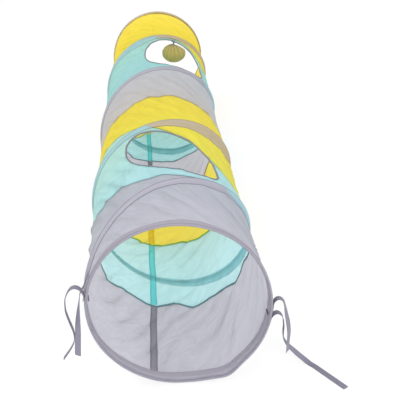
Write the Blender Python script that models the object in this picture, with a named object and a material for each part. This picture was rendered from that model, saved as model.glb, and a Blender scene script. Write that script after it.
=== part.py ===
# Agility tunnel for small pets: striped fabric tube on one wound spring wire.
# Metres, +Z up. The tube lies along Y with its photographed end at -Y.

import math

import bmesh
import bpy
from mathutils import Vector

# Driving dimensions
LENGTH = 1.300
OUTER_RADIUS = 0.127
HEM_WIDTH = 0.017
CLOTH = 0.0008
WIRE_DIAMETER = 0.0026
GAP = 0.0003
SAG = 0.006
SIDE_SAG = 0.35
SEGMENTS = 40
FLAT_STEPS = 0.5
ROW_LENGTH = 0.040

# Where the wire crosses the top of the tube, as shares of the length
TOP_CROSSINGS = (0.103, 0.293, 0.551, 0.775)
RIM_TURN_Y = 0.0040
RIM_TURN_STEP = 0.0042
START_STEPS = -12.5
END_STEPS = 159.5

# Cross seams between the cloth bands, as shares of the length:
# mean, first and second wave, lean to the right, and tilt of the top alone
SEAMS = (
    (0.1405, 0.0085, 0.0040, -0.0080, 0.0000),
    (0.2845, 0.0115, 0.0020, 0.0000, -0.0600),
    (0.4025, -0.0155, -0.0060, 0.0160, 0.0000),
    (0.5775, 0.0225, 0.0000, 0.0000, 0.0400),
    (0.7735, 0.0025, 0.0040, 0.0600, 0.0000),
)
SEAM_WIDTH = 0.0050
SEAM_THICK = 0.0009

# Windows: columns of the cloth grid left and right, shares of the length front and rear,
# and how far the outline slants along the tube for each radian round it
FRONT_WINDOW = (-4, 4, 0.148, 0.261, -0.045)
REAR_WINDOW = (-2, 6, 0.588, 0.764, 0.0)
BAND_WINDOWS = {1: FRONT_WINDOW, 4: REAR_WINDOW}
WINDOW_START = 2
WINDOW_ROWS = 6
WINDOW_POWER = 2.3
BINDING_WIDTH = 0.0042
BINDING_THICK = 0.0009

# Casing tape over the wire
CASING_WIDTH = 0.0140
CASING_TOP = 0.0040

# Lap seam along the bottom, in one column of the cloth grid
LAP_COLUMN = 21
LAP_FROM = 0.26
LAP_TO = 0.74

# Ties and their bar tacks on the front hem
TIE_WIDTH = 0.0090
TIE_THICK = 0.0008
TACK_LENGTH = 0.0110
TACK_WIDTH = 0.0030

# Hanging ball
BALL_RADIUS = 0.0300
BALL_FLATTEN = 0.78
BALL_COLUMN = 1
NECK_DROP = 0.0044
BEAD_RADIUS = 0.0014
CORD_RADIUS = 0.0011
NECK_RADIUS = 0.0032
TAB_FRONT = 0.0060
TAB_BACK = 0.0140

# Values that follow from the ones above
STEP_ANGLE = 2.0 * math.pi / SEGMENTS
CENTRE_Z = OUTER_RADIUS * math.cos(FLAT_STEPS * STEP_ANGLE)
WIRE_RADIUS = WIRE_DIAMETER / 2.0
CASING_RADIUS = OUTER_RADIUS - 0.0005
WIRE_PATH_RADIUS = CASING_RADIUS - CLOTH - GAP - WIRE_RADIUS
CLOTH_OUTSIDE = WIRE_PATH_RADIUS - WIRE_RADIUS - GAP
CLOTH_INSIDE = CLOTH_OUTSIDE - CLOTH
HEM_INSIDE = CLOTH_INSIDE - GAP - CLOTH
BALL_HEIGHT = BALL_RADIUS * BALL_FLATTEN
BALL_DROP = BALL_HEIGHT + NECK_DROP
START_TURN = START_STEPS / SEGMENTS
END_TURN = END_STEPS / SEGMENTS


def srgb(red, green, blue):
    """Colour given as 0 to 255 values, as linear values."""
    out = []
    for value in (red, green, blue):
        share = value / 255.0
        if share <= 0.04045:
            out.append(share / 12.92)
        else:
            out.append(((share + 0.055) / 1.055) ** 2.4)
    return out


GREY = srgb(196, 195, 204)
GREY_DARK = srgb(131, 128, 141)
TURQUOISE = srgb(172, 224, 228)
TEAL = srgb(97, 190, 196)
YELLOW = srgb(242, 224, 98)
GOLD = srgb(226, 200, 40)
RIBBON = srgb(140, 136, 156)
STEEL = srgb(150, 152, 156)
TAPE = srgb(160, 160, 162)
DARK = srgb(70, 68, 78)
OLIVE = srgb(172, 160, 88)


def clear_scene():
    for obj in list(bpy.data.objects):
        bpy.data.objects.remove(obj, do_unlink=True)


def make(name, points, faces, colour, rough=0.8, metal=0.0, origin=(0.0, 0.0, 0.0)):
    """One named closed piece with its own material; its origin sits where it moves."""
    mesh = bpy.data.meshes.new(name)
    base = Vector(origin)
    work = bmesh.new()
    verts = [work.verts.new(Vector(p) - base) for p in points]
    for face in faces:
        work.faces.new([verts[i] for i in face])
    bmesh.ops.recalc_face_normals(work, faces=work.faces)
    work.to_mesh(mesh)
    work.free()
    obj = bpy.data.objects.new(name, mesh)
    obj.location = base
    bpy.context.scene.collection.objects.link(obj)
    mat = bpy.data.materials.new(name)
    mat.use_nodes = True
    shader = mat.node_tree.nodes["Principled BSDF"]
    shader.inputs["Base Color"].default_value = (*colour, 1.0)
    shader.inputs["Roughness"].default_value = rough
    shader.inputs["Metallic"].default_value = metal
    mesh.materials.append(mat)
    return obj


def column_angle(column):
    """Angle of a grid column from the top, clockwise from the front end."""
    return (column + 0.5) * STEP_ANGLE


def on_tube(angle, radius, along):
    """Point of the tube's section, flattened where it lies on the floor."""
    x = radius * math.sin(angle)
    z = CENTRE_Z + radius * math.cos(angle)
    low = OUTER_RADIUS - radius
    return Vector((x, along - LENGTH / 2.0, max(z, low)))


def smooth_value(xs, ys, x):
    """Cubic through the points that never overshoots them."""
    count = len(xs)
    slopes = []
    for i in range(count - 1):
        slopes.append((ys[i + 1] - ys[i]) / (xs[i + 1] - xs[i]))
    ends = [slopes[0]]
    for i in range(1, count - 1):
        if slopes[i - 1] * slopes[i] <= 0.0:
            ends.append(0.0)
        else:
            ends.append(2.0 * slopes[i - 1] * slopes[i] / (slopes[i - 1] + slopes[i]))
    ends.append(slopes[-1])
    cell = 0
    while cell < count - 2 and x > xs[cell + 1]:
        cell += 1
    width = xs[cell + 1] - xs[cell]
    t = (x - xs[cell]) / width
    h00 = 2 * t**3 - 3 * t**2 + 1
    h10 = t**3 - 2 * t**2 + t
    h01 = -2 * t**3 + 3 * t**2
    h11 = t**3 - t**2
    return h00 * ys[cell] + h10 * width * ends[cell] + h01 * ys[cell + 1] + h11 * width * ends[cell + 1]


WIRE_TURNS = (START_TURN - 1.0, START_TURN, 0.0, 1.0, 2.0, 3.0, END_TURN, END_TURN + 1.0)
WIRE_ALONG = (
    RIM_TURN_Y,
    RIM_TURN_Y + RIM_TURN_STEP,
    TOP_CROSSINGS[0] * LENGTH,
    TOP_CROSSINGS[1] * LENGTH,
    TOP_CROSSINGS[2] * LENGTH,
    TOP_CROSSINGS[3] * LENGTH,
    LENGTH - RIM_TURN_Y - RIM_TURN_STEP,
    LENGTH - RIM_TURN_Y,
)


def wire_along(turn):
    return smooth_value(WIRE_TURNS, WIRE_ALONG, turn)


def sag_at(angle, along):
    """How far the cloth hangs in from the wire's own radius."""
    edge = HEM_WIDTH + 0.003
    if along <= edge or along >= LENGTH - edge:
        return 0.0
    share = angle / (2.0 * math.pi)
    stops = [RIM_TURN_Y, LENGTH - RIM_TURN_Y]
    for n in range(-2, 7):
        turn = share + n
        if START_TURN <= turn <= END_TURN:
            stops.append(wire_along(turn))
    stops.sort()
    before = max(s for s in stops if s <= along)
    after = min(s for s in stops if s > along)
    wave = math.sin(math.pi * (along - before) / (after - before)) ** 2
    depth = SIDE_SAG + (1.0 - SIDE_SAG) * max(0.0, math.cos(angle))
    return SAG * depth * min(1.0, (after - before) / (0.2 * LENGTH)) * wave


def seam_along(index, angle):
    """Position of a cross seam, or of the cloth's first or last edge."""
    if index == 0:
        return CLOTH + 2.0 * GAP
    if index == len(SEAMS) + 1:
        return LENGTH - CLOTH - 2.0 * GAP
    mean, once, twice, lean, tilt = SEAMS[index - 1]
    waves = once * math.cos(angle) + twice * math.cos(2.0 * angle)
    top = (0.5 + 0.5 * math.cos(angle)) ** 2
    return LENGTH * (mean - waves + (lean + tilt * top) * math.sin(angle))


def ring_solid(rings):
    """Faces of a closed tube whose sections are given in order around a loop."""
    count = len(rings)
    size = len(rings[0])
    points = [p for ring in rings for p in ring]
    faces = []
    for i in range(count):
        k = (i + 1) % count
        for j in range(size):
            m = (j + 1) % size
            faces.append((i * size + j, i * size + m, k * size + m, k * size + j))
    return points, faces


def rod_solid(rings):
    """Faces of a rod with flat ends whose sections are given from end to end."""
    size = len(rings[0])
    points = [p for ring in rings for p in ring]
    faces = []
    for i in range(len(rings) - 1):
        for j in range(size):
            m = (j + 1) % size
            faces.append((i * size + j, i * size + m, (i + 1) * size + m, (i + 1) * size + j))
    last = (len(rings) - 1) * size
    faces.append(tuple(range(size)))
    faces.append(tuple(last + j for j in reversed(range(size))))
    return points, faces


# Cloth bands


def band_rows(index, window):
    """Shares of a band's own length where its grid rows lie."""
    front = seam_along(index, 0.0)
    rear = seam_along(index + 1, 0.0)
    if window:
        middle = 0.5 * (column_angle(window[0]) + column_angle(window[1]))
        low = seam_along(index, middle)
        high = seam_along(index + 1, middle)
        first = (window[2] * LENGTH - low) / (high - low)
        last = (window[3] * LENGTH - low) / (high - low)
        inner = [first + (last - first) * j / WINDOW_ROWS for j in range(WINDOW_ROWS + 1)]
        guard = (SEAM_WIDTH + 0.001) / (high - low)
        return [0.0, guard] + inner + [1.0 - guard, 1.0]
    edge = (HEM_WIDTH + 0.003) / (rear - front)
    count = max(2, round((rear - front) / ROW_LENGTH))
    rows = [j / count for j in range(count + 1)]
    if index == 0:
        rows = [0.0] + [edge + (1.0 - edge) * r for r in rows]
    if index == len(SEAMS):
        rows = [(1.0 - edge) * r for r in rows] + [1.0]
    return rows


def band_point(index, rows, window, column, row):
    """Angle and position along the tube of one grid point of a band."""
    angle = column_angle(column)
    half = GAP / 2.0
    start = seam_along(index, angle) + (half if index > 0 else 0.0)
    stop = seam_along(index + 1, angle) - (half if index < len(SEAMS) else 0.0)
    share = rows[row]
    edge = HEM_WIDTH + 0.003
    if index == 0 and row > 0:
        start = edge
        share = (share - rows[1]) / (1.0 - rows[1])
    if index == len(SEAMS) and row < len(rows) - 1:
        stop = LENGTH - edge
        share = share / rows[-2]
    along = start + (stop - start) * share
    if window:
        signed = (column + SEGMENTS // 2) % SEGMENTS - SEGMENTS // 2
        left, right = window[0], window[1]
        if left <= signed <= right and WINDOW_START <= row <= WINDOW_START + WINDOW_ROWS:
            u = 2.0 * (signed - left) / (right - left) - 1.0
            v = 2.0 * (row - WINDOW_START) / WINDOW_ROWS - 1.0
            if max(abs(u), abs(v)) > 0.999:
                angle, along = window_edge(window, u, v, 0.0)
    return angle, along


def window_edge(window, u, v, outset):
    """Point of a window's rounded outline, moved outwards by a distance."""
    left, right, front, rear, slant = window
    middle = 0.5 * (column_angle(left) + column_angle(right))
    wide = 0.5 * (column_angle(right) - column_angle(left))
    centre = 0.5 * (front + rear) * LENGTH
    long = 0.5 * (rear - front) * LENGTH
    size = (abs(u) ** WINDOW_POWER + abs(v) ** WINDOW_POWER) ** (1.0 / WINDOW_POWER)
    angle = middle + (wide + outset / CLOTH_OUTSIDE) * u / size
    along = centre + (long + outset) * v / size + slant * LENGTH * (angle - middle)
    return angle, along


def window_loop(window):
    """Square outline of a window's block of cells, as shares from its middle."""
    left, right = window[0], window[1]
    count = right - left
    loop = []
    for i in range(count):
        loop.append((2.0 * i / count - 1.0, -1.0))
    for j in range(WINDOW_ROWS):
        loop.append((1.0, 2.0 * j / WINDOW_ROWS - 1.0))
    for i in range(count):
        loop.append((1.0 - 2.0 * i / count, 1.0))
    for j in range(WINDOW_ROWS):
        loop.append((-1.0, 1.0 - 2.0 * j / WINDOW_ROWS))
    return loop


def make_band(name, index, colour, window=None):
    rows = band_rows(index, window)
    count = len(rows)
    points = []
    ids = {}
    for column in range(SEGMENTS):
        signed = (column + SEGMENTS // 2) % SEGMENTS - SEGMENTS // 2
        for row in range(count):
            deep = WINDOW_START < row < WINDOW_START + WINDOW_ROWS
            if window and deep and window[0] < signed < window[1]:
                continue
            angle, along = band_point(index, rows, window, column, row)
            sag = sag_at(angle, along)
            ids[column, row] = len(points)
            points.append(on_tube(angle, CLOTH_OUTSIDE - sag, along))
            points.append(on_tube(angle, CLOTH_INSIDE - sag, along))
    cells = set()
    for column in range(SEGMENTS):
        signed = (column + SEGMENTS // 2) % SEGMENTS - SEGMENTS // 2
        for row in range(count - 1):
            deep = WINDOW_START <= row < WINDOW_START + WINDOW_ROWS
            if not (window and deep and window[0] <= signed < window[1]):
                cells.add((column, row))
    faces = []
    for column, row in sorted(cells):
        right = (column + 1) % SEGMENTS
        corner = [ids[column, row], ids[right, row], ids[right, row + 1], ids[column, row + 1]]
        faces.append(tuple(corner))
        faces.append(tuple(i + 1 for i in reversed(corner)))
        beside = (
            ((column, row - 1), corner[0], corner[1]),
            (((column + 1) % SEGMENTS, row), corner[1], corner[2]),
            ((column, row + 1), corner[2], corner[3]),
            (((column - 1) % SEGMENTS, row), corner[3], corner[0]),
        )
        for other, a, b in beside:
            if other not in cells:
                faces.append((b, a, a + 1, b + 1))
    origin = (0.0, seam_along(index, 0.0) - LENGTH / 2.0, CENTRE_Z)
    return make(name, points, faces, colour, origin=origin)


def cell_sag(index, window, column, along):
    """Sag of a band's flat cells at a place along one grid column."""
    rows = band_rows(index, window)
    before = band_point(index, rows, window, column, 0)
    after = band_point(index, rows, window, column, 1)
    row = 1
    while row < len(rows) - 1 and along > after[1]:
        row += 1
        before = after
        after = band_point(index, rows, window, column, row)
    part = (along - before[1]) / (after[1] - before[1])
    low = sag_at(*before)
    return low + (sag_at(*after) - low) * part


def band_share(index, window, column, along):
    """Share of a band's length that lies at a place along the tube, in mid column."""
    rows = band_rows(index, window)
    places = []
    for row in range(len(rows)):
        near = band_point(index, rows, window, column, row)[1]
        far = band_point(index, rows, window, column + 1, row)[1]
        places.append(0.5 * (near + far))
    cell = 0
    while cell < len(rows) - 2 and along > places[cell + 1]:
        cell += 1
    part = (along - places[cell]) / (places[cell + 1] - places[cell])
    return rows[cell] + part * (rows[cell + 1] - rows[cell])


def band_surface(index, window, column, across, share):
    """Point and inward direction on a band's inner face, inside one grid column."""
    rows = band_rows(index, window)
    cell = 0
    while cell < len(rows) - 2 and share > rows[cell + 1]:
        cell += 1
    part = (share - rows[cell]) / (rows[cell + 1] - rows[cell])
    corner = []
    for c, r in ((column, cell), (column + 1, cell), (column, cell + 1), (column + 1, cell + 1)):
        angle, along = band_point(index, rows, window, c, r)
        corner.append(on_tube(angle, CLOTH_INSIDE - sag_at(angle, along), along))
    near = corner[0].lerp(corner[1], across)
    far = corner[2].lerp(corner[3], across)
    point = near.lerp(far, part)
    side = corner[1] - corner[0]
    inward = Vector((side.z, 0.0, -side.x)).normalized()
    middle = Vector((0.0, point.y, CENTRE_Z))
    if inward.dot(middle - point) < 0.0:
        inward = -inward
    return point, inward


# Trim


def make_cross_seam(name, index, colour):
    rings = []
    for column in range(SEGMENTS):
        angle = column_angle(column)
        middle = seam_along(index, angle)
        ring = []
        for side, depth in ((-1, 0.0), (1, 0.0), (1, SEAM_THICK), (-1, SEAM_THICK)):
            along = middle + side * SEAM_WIDTH / 2.0
            band = index if side > 0 else index - 1
            radius = CLOTH_INSIDE - GAP - depth - cell_sag(band, BAND_WINDOWS.get(band), column, along)
            ring.append(on_tube(angle, radius, along))
        rings.append(ring)
    points, faces = ring_solid(rings)
    origin = (0.0, seam_along(index, 0.0) - LENGTH / 2.0, CENTRE_Z)
    return make(name, points, faces, colour, origin=origin)


def make_lap_seam(name, index, colour, window=None):
    """Strip along one column, stopping short of the cross seams and the hems."""
    angle = column_angle(LAP_COLUMN) + 0.5 * STEP_ANGLE
    start = seam_along(index, angle)
    stop = seam_along(index + 1, angle)
    clear = SEAM_WIDTH / 2.0 + 0.0012
    first = HEM_WIDTH + 0.0006 if index == 0 else start + clear
    last = LENGTH - HEM_WIDTH - 0.0006 if index == len(SEAMS) else stop - clear
    low = band_share(index, window, LAP_COLUMN, first)
    high = band_share(index, window, LAP_COLUMN, last)
    shares = [low] + [r for r in band_rows(index, window) if low + 0.02 < r < high - 0.02] + [high]
    rings = []
    for share in shares:
        ring = []
        for across, depth in ((LAP_FROM, 0.0), (LAP_TO, 0.0), (LAP_TO, CLOTH), (LAP_FROM, CLOTH)):
            point, inward = band_surface(index, window, LAP_COLUMN, across, share)
            ring.append(point + inward * (GAP + depth))
        rings.append(ring)
    points, faces = rod_solid(rings)
    origin = (0.0, start - LENGTH / 2.0, CENTRE_Z)
    return make(name, points, faces, colour, origin=origin)


def make_binding(name, index, window, colour):
    """Flat tape round a window, on the outside of the cloth."""
    rings = []
    for u, v in window_loop(window):
        ring = []
        for outset, lift in ((0.0004, 0.0), (BINDING_WIDTH, 0.0), (BINDING_WIDTH, 1.0), (0.0004, 1.0)):
            angle, along = window_edge(window, u, v, outset)
            radius = CLOTH_OUTSIDE + GAP + lift * BINDING_THICK - sag_at(angle, along)
            ring.append(on_tube(angle, radius, along))
        rings.append(ring)
    points, faces = ring_solid(rings)
    origin = (0.0, seam_along(index, 0.0) - LENGTH / 2.0, CENTRE_Z)
    return make(name, points, faces, colour, origin=origin)


def make_hem(name, rear):
    """Folded tape over the end of the tube, closed over the wire's end turn."""
    section = (
        (0.0, OUTER_RADIUS),
        (HEM_WIDTH, OUTER_RADIUS),
        (HEM_WIDTH, OUTER_RADIUS - CLOTH),
        (CLOTH, OUTER_RADIUS - CLOTH),
        (CLOTH, HEM_INSIDE + CLOTH),
        (HEM_WIDTH, HEM_INSIDE + CLOTH),
        (HEM_WIDTH, HEM_INSIDE),
        (0.0, HEM_INSIDE),
    )
    rings = []
    for column in range(SEGMENTS):
        ring = []
        for along, radius in section:
            place = LENGTH - along if rear else along
            ring.append(on_tube(column_angle(column), radius, place))
        rings.append(ring)
    points, faces = ring_solid(rings)
    origin = (0.0, LENGTH / 2.0 if rear else -LENGTH / 2.0, CENTRE_Z)
    return make(name, points, faces, GREY_DARK, origin=origin)


# Wound wire and its casing


def wire_point(step):
    turn = step / SEGMENTS
    return on_tube(2.0 * math.pi * turn, WIRE_PATH_RADIUS, wire_along(turn))


def wire_frame(step):
    """Point, outward and crosswise directions of the wire at one grid step."""
    here = wire_point(step)
    ahead = (wire_point(step + 1.0) - here).normalized()
    behind = (here - wire_point(step - 1.0)).normalized()
    run = (ahead + behind).normalized()
    flat = Vector((run.x, 0.0, run.z)).normalized()
    out = Vector((-flat.z, 0.0, flat.x))
    cross = out.cross(run).normalized()
    return here, out, cross


def sweep_steps(first, last):
    count = round(last - first)
    return [first + i for i in range(count + 1)]


def make_wire():
    steps = sweep_steps(START_STEPS - SEGMENTS, END_STEPS + SEGMENTS)
    centres = []
    rings = []
    for step in steps:
        if step == steps[0] or step == steps[-1]:
            inner = step + (0.5 if step == steps[0] else -0.5)
            _, out, cross = wire_frame(inner)
            here = wire_point(step)
        else:
            here, out, cross = wire_frame(step)
        centres.append(here)
        ring = []
        for j in range(5):
            turn = 2.0 * math.pi * (j + 0.25) / 5.0
            ring.append(here + out * WIRE_RADIUS * math.cos(turn) + cross * WIRE_RADIUS * math.sin(turn))
        rings.append(ring)
    least = 1.0
    for i in range(len(centres)):
        for k in range(i + SEGMENTS // 2, len(centres)):
            least = min(least, (centres[i] - centres[k]).length - WIRE_DIAMETER)
    print("wire turns, least gap to itself in mm:", round(1000.0 * least, 2))
    points, faces = rod_solid(rings)
    return make("spring_wire", points, faces, STEEL, rough=0.35, metal=0.9)


def make_casing():
    """Tape folded over the wire between the hems."""
    clear = HEM_WIDTH + CASING_WIDTH / 2.0 + 0.001
    steps = []
    for step in sweep_steps(START_STEPS, END_STEPS):
        place = wire_along(step / SEGMENTS)
        if clear < place < LENGTH - clear:
            steps.append(step)
    foot = -WIRE_RADIUS
    inner = WIRE_RADIUS + GAP
    outer = inner + CLOTH
    half = CASING_WIDTH / 2.0
    section = (
        (-half, foot),
        (-CASING_TOP / 2.0, outer),
        (CASING_TOP / 2.0, outer),
        (half, foot),
        (half - 0.0018, foot),
        (CASING_TOP / 2.0 - 0.0005, inner),
        (0.0005 - CASING_TOP / 2.0, inner),
        (0.0018 - half, foot),
    )
    rings = []
    for step in steps:
        here, out, cross = wire_frame(step)
        rings.append([here + cross * side + out * lift for side, lift in section])
    points, faces = rod_solid(rings)
    return make("wire_casing", points, faces, TAPE)


# Ties


def ribbon(points, widths):
    """Smooth ribbon through points; widths give which way its flat side lies."""
    path = []
    count = len(points)
    for i in range(count - 1):
        p0 = points[max(i - 1, 0)]
        p1 = points[i]
        p2 = points[i + 1]
        p3 = points[min(i + 2, count - 1)]
        for j in range(3):
            t = j / 3.0
            mixed = (p2 - p0) * 0.5 * t
            mixed = mixed + (p0 * 2.0 - p1 * 5.0 + p2 * 4.0 - p3) * 0.5 * t * t
            mixed = mixed + (p1 * 3.0 - p0 - p2 * 3.0 + p3) * 0.5 * t * t * t
            path.append((p1 + mixed, widths[i].lerp(widths[i + 1], t)))
    path.append((points[-1], widths[-1]))
    rings = []
    for i, (here, width) in enumerate(path):
        run = path[min(i + 1, len(path) - 1)][0] - path[max(i - 1, 0)][0]
        run.normalize()
        wide = (width - run * width.dot(run)).normalized()
        thick = run.cross(wide)
        ring = []
        for a, b in ((-1, -1), (1, -1), (1, 1), (-1, 1)):
            ring.append(here + wide * a * TIE_WIDTH / 2.0 + thick * b * TIE_THICK / 2.0)
        rings.append(ring)
    return rod_solid(rings)


def make_tie(name, stations):
    """Stations hold place from the front rim, and which way the ribbon is wide."""
    points = []
    widths = []
    for x, along, z, wide in stations:
        points.append(Vector((x, along - LENGTH / 2.0, z)))
        widths.append(Vector(wide).normalized())
    verts, faces = ribbon(points, widths)
    return make(name, verts, faces, RIBBON)


def rim_station(angle, lift, along, wide=(0.0, 1.0, 0.0)):
    """Tie station standing off the front hem's outer face."""
    point = on_tube(angle, OUTER_RADIUS, 0.0)
    out = Vector((math.sin(angle), 0.0, math.cos(angle)))
    place = point + out * lift
    return (place.x, along, place.z, wide)


def make_tack(name, angle):
    """Bar of stitches inside the front hem where a pair of ties is sewn on."""
    points = []
    out = Vector((math.sin(angle), 0.0, math.cos(angle)))
    turn = Vector((math.cos(angle), 0.0, -math.sin(angle)))
    centre = Vector((0.0, HEM_WIDTH / 2.0 - LENGTH / 2.0, CENTRE_Z))
    face = HEM_INSIDE * math.cos(STEP_ANGLE / 2.0)
    for depth in (GAP, GAP + 0.0009):
        for a, b in ((-1, -1), (1, -1), (1, 1), (-1, 1)):
            spot = centre + out * (face - depth) + turn * (a * TACK_WIDTH / 2.0)
            points.append(spot + Vector((0.0, b * TACK_LENGTH / 2.0, 0.0)))
    faces = [(0, 1, 2, 3), (4, 5, 6, 7)]
    for j in range(4):
        m = (j + 1) % 4
        faces.append((j, m, m + 4, j + 4))
    return make(name, points, faces, DARK)


# Ball and its hanger


def turned(name, profile, centre, axis, colour, sides, rough=0.8):
    """Round piece about an axis; profile holds position along it and radius."""
    axis = Vector(axis)
    first = Vector((0.0, 1.0, 0.0)) if abs(axis.y) < 0.5 else Vector((1.0, 0.0, 0.0))
    second = axis.cross(first)
    points = []
    rings = []
    for along, radius in profile:
        if radius <= 0.0:
            rings.append([len(points)])
            points.append(centre + axis * along)
            continue
        ring = []
        for j in range(sides):
            turn = 2.0 * math.pi * j / sides
            ring.append(len(points))
            spot = first * math.cos(turn) + second * math.sin(turn)
            points.append(centre + axis * along + spot * radius)
        rings.append(ring)
    faces = []
    for low, high in zip(rings, rings[1:]):
        for j in range(sides):
            m = (j + 1) % sides
            if len(low) == 1:
                faces.append((low[0], high[j], high[m]))
            elif len(high) == 1:
                faces.append((low[j], low[m], high[0]))
            else:
                faces.append((low[j], low[m], high[m], high[j]))
    for ring in (rings[0], rings[-1]):
        if len(ring) > 1:
            faces.append(tuple(ring))
    return make(name, points, faces, colour, rough=rough, origin=tuple(centre))


def make_ball_group():
    """Tab at the rear window's far edge, its bead, and the ball hung below it."""
    index = 4
    angle = column_angle(BALL_COLUMN) + 0.5 * STEP_ANGLE
    start = seam_along(index, angle)
    stop = seam_along(index + 1, angle)
    edge = band_rows(index, REAR_WINDOW)[WINDOW_START + WINDOW_ROWS] + 0.001
    back = edge + TAB_BACK / (stop - start)
    rings = []
    for forward in (True, False):
        ring = []
        for side, depth in ((0.26, 0.0), (0.74, 0.0), (0.74, CLOTH), (0.26, CLOTH)):
            point, inward = band_surface(index, REAR_WINDOW, BALL_COLUMN, side, back)
            if forward:
                rim, inward = band_surface(index, REAR_WINDOW, BALL_COLUMN, side, edge)
                point = rim + (rim - point).normalized() * TAB_FRONT
            ring.append(point + inward * (GAP + depth))
        rings.append(ring)
    points, faces = rod_solid(rings)
    make("ball_tab", points, faces, GREY_DARK, origin=(0.0, start - LENGTH / 2.0, CENTRE_Z))
    lip = sum(rings[0], Vector((0.0, 0.0, 0.0))) / 4.0
    front = min(p.y for p in rings[0])
    pivot = Vector((lip.x, front - GAP - BEAD_RADIUS, lip.z))
    print("ball pivot", [round(v, 5) for v in pivot])
    bead = [(-BEAD_RADIUS, 0.0)]
    for i in range(7, 0, -1):
        turn = math.pi * i / 8.0
        bead.append((BEAD_RADIUS * math.cos(turn), BEAD_RADIUS * math.sin(turn)))
    bead.append((BEAD_RADIUS, 0.0))
    turned("ball_bead", bead, pivot, (1.0, 0.0, 0.0), RIBBON, 16)
    ball_top = BALL_HEIGHT - BALL_DROP
    neck_low = ball_top + GAP
    neck_high = -BEAD_RADIUS - GAP
    neck_mid = neck_low * 0.6 + neck_high * 0.4
    neck = ((neck_low, NECK_RADIUS * 0.6), (neck_mid, NECK_RADIUS), (neck_high, CORD_RADIUS))
    turned("ball_neck", neck, pivot, (0.0, 0.0, 1.0), DARK, 12)
    profile = [(ball_top - BALL_HEIGHT * 2.0, 0.0)]
    for i in range(9, 0, -1):
        turn = math.pi * i / 10.0
        profile.append((-BALL_DROP + BALL_HEIGHT * math.cos(turn), BALL_RADIUS * math.sin(turn)))
    profile.append((ball_top, 0.0))
    turned("ball", profile, pivot, (0.0, 0.0, 1.0), OLIVE, 20)


def free(x, along, z, wide):
    """Tie station away from the hem, tied to the size of the rim."""
    share = OUTER_RADIUS / 0.127
    return (x * share, along, z * share, wide)


def floor_free(x, along, wide):
    """Tie station where the ribbon lies on the floor."""
    share = OUTER_RADIUS / 0.127
    return (x * share, along, TIE_THICK / 2.0 + GAP, wide)


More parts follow.
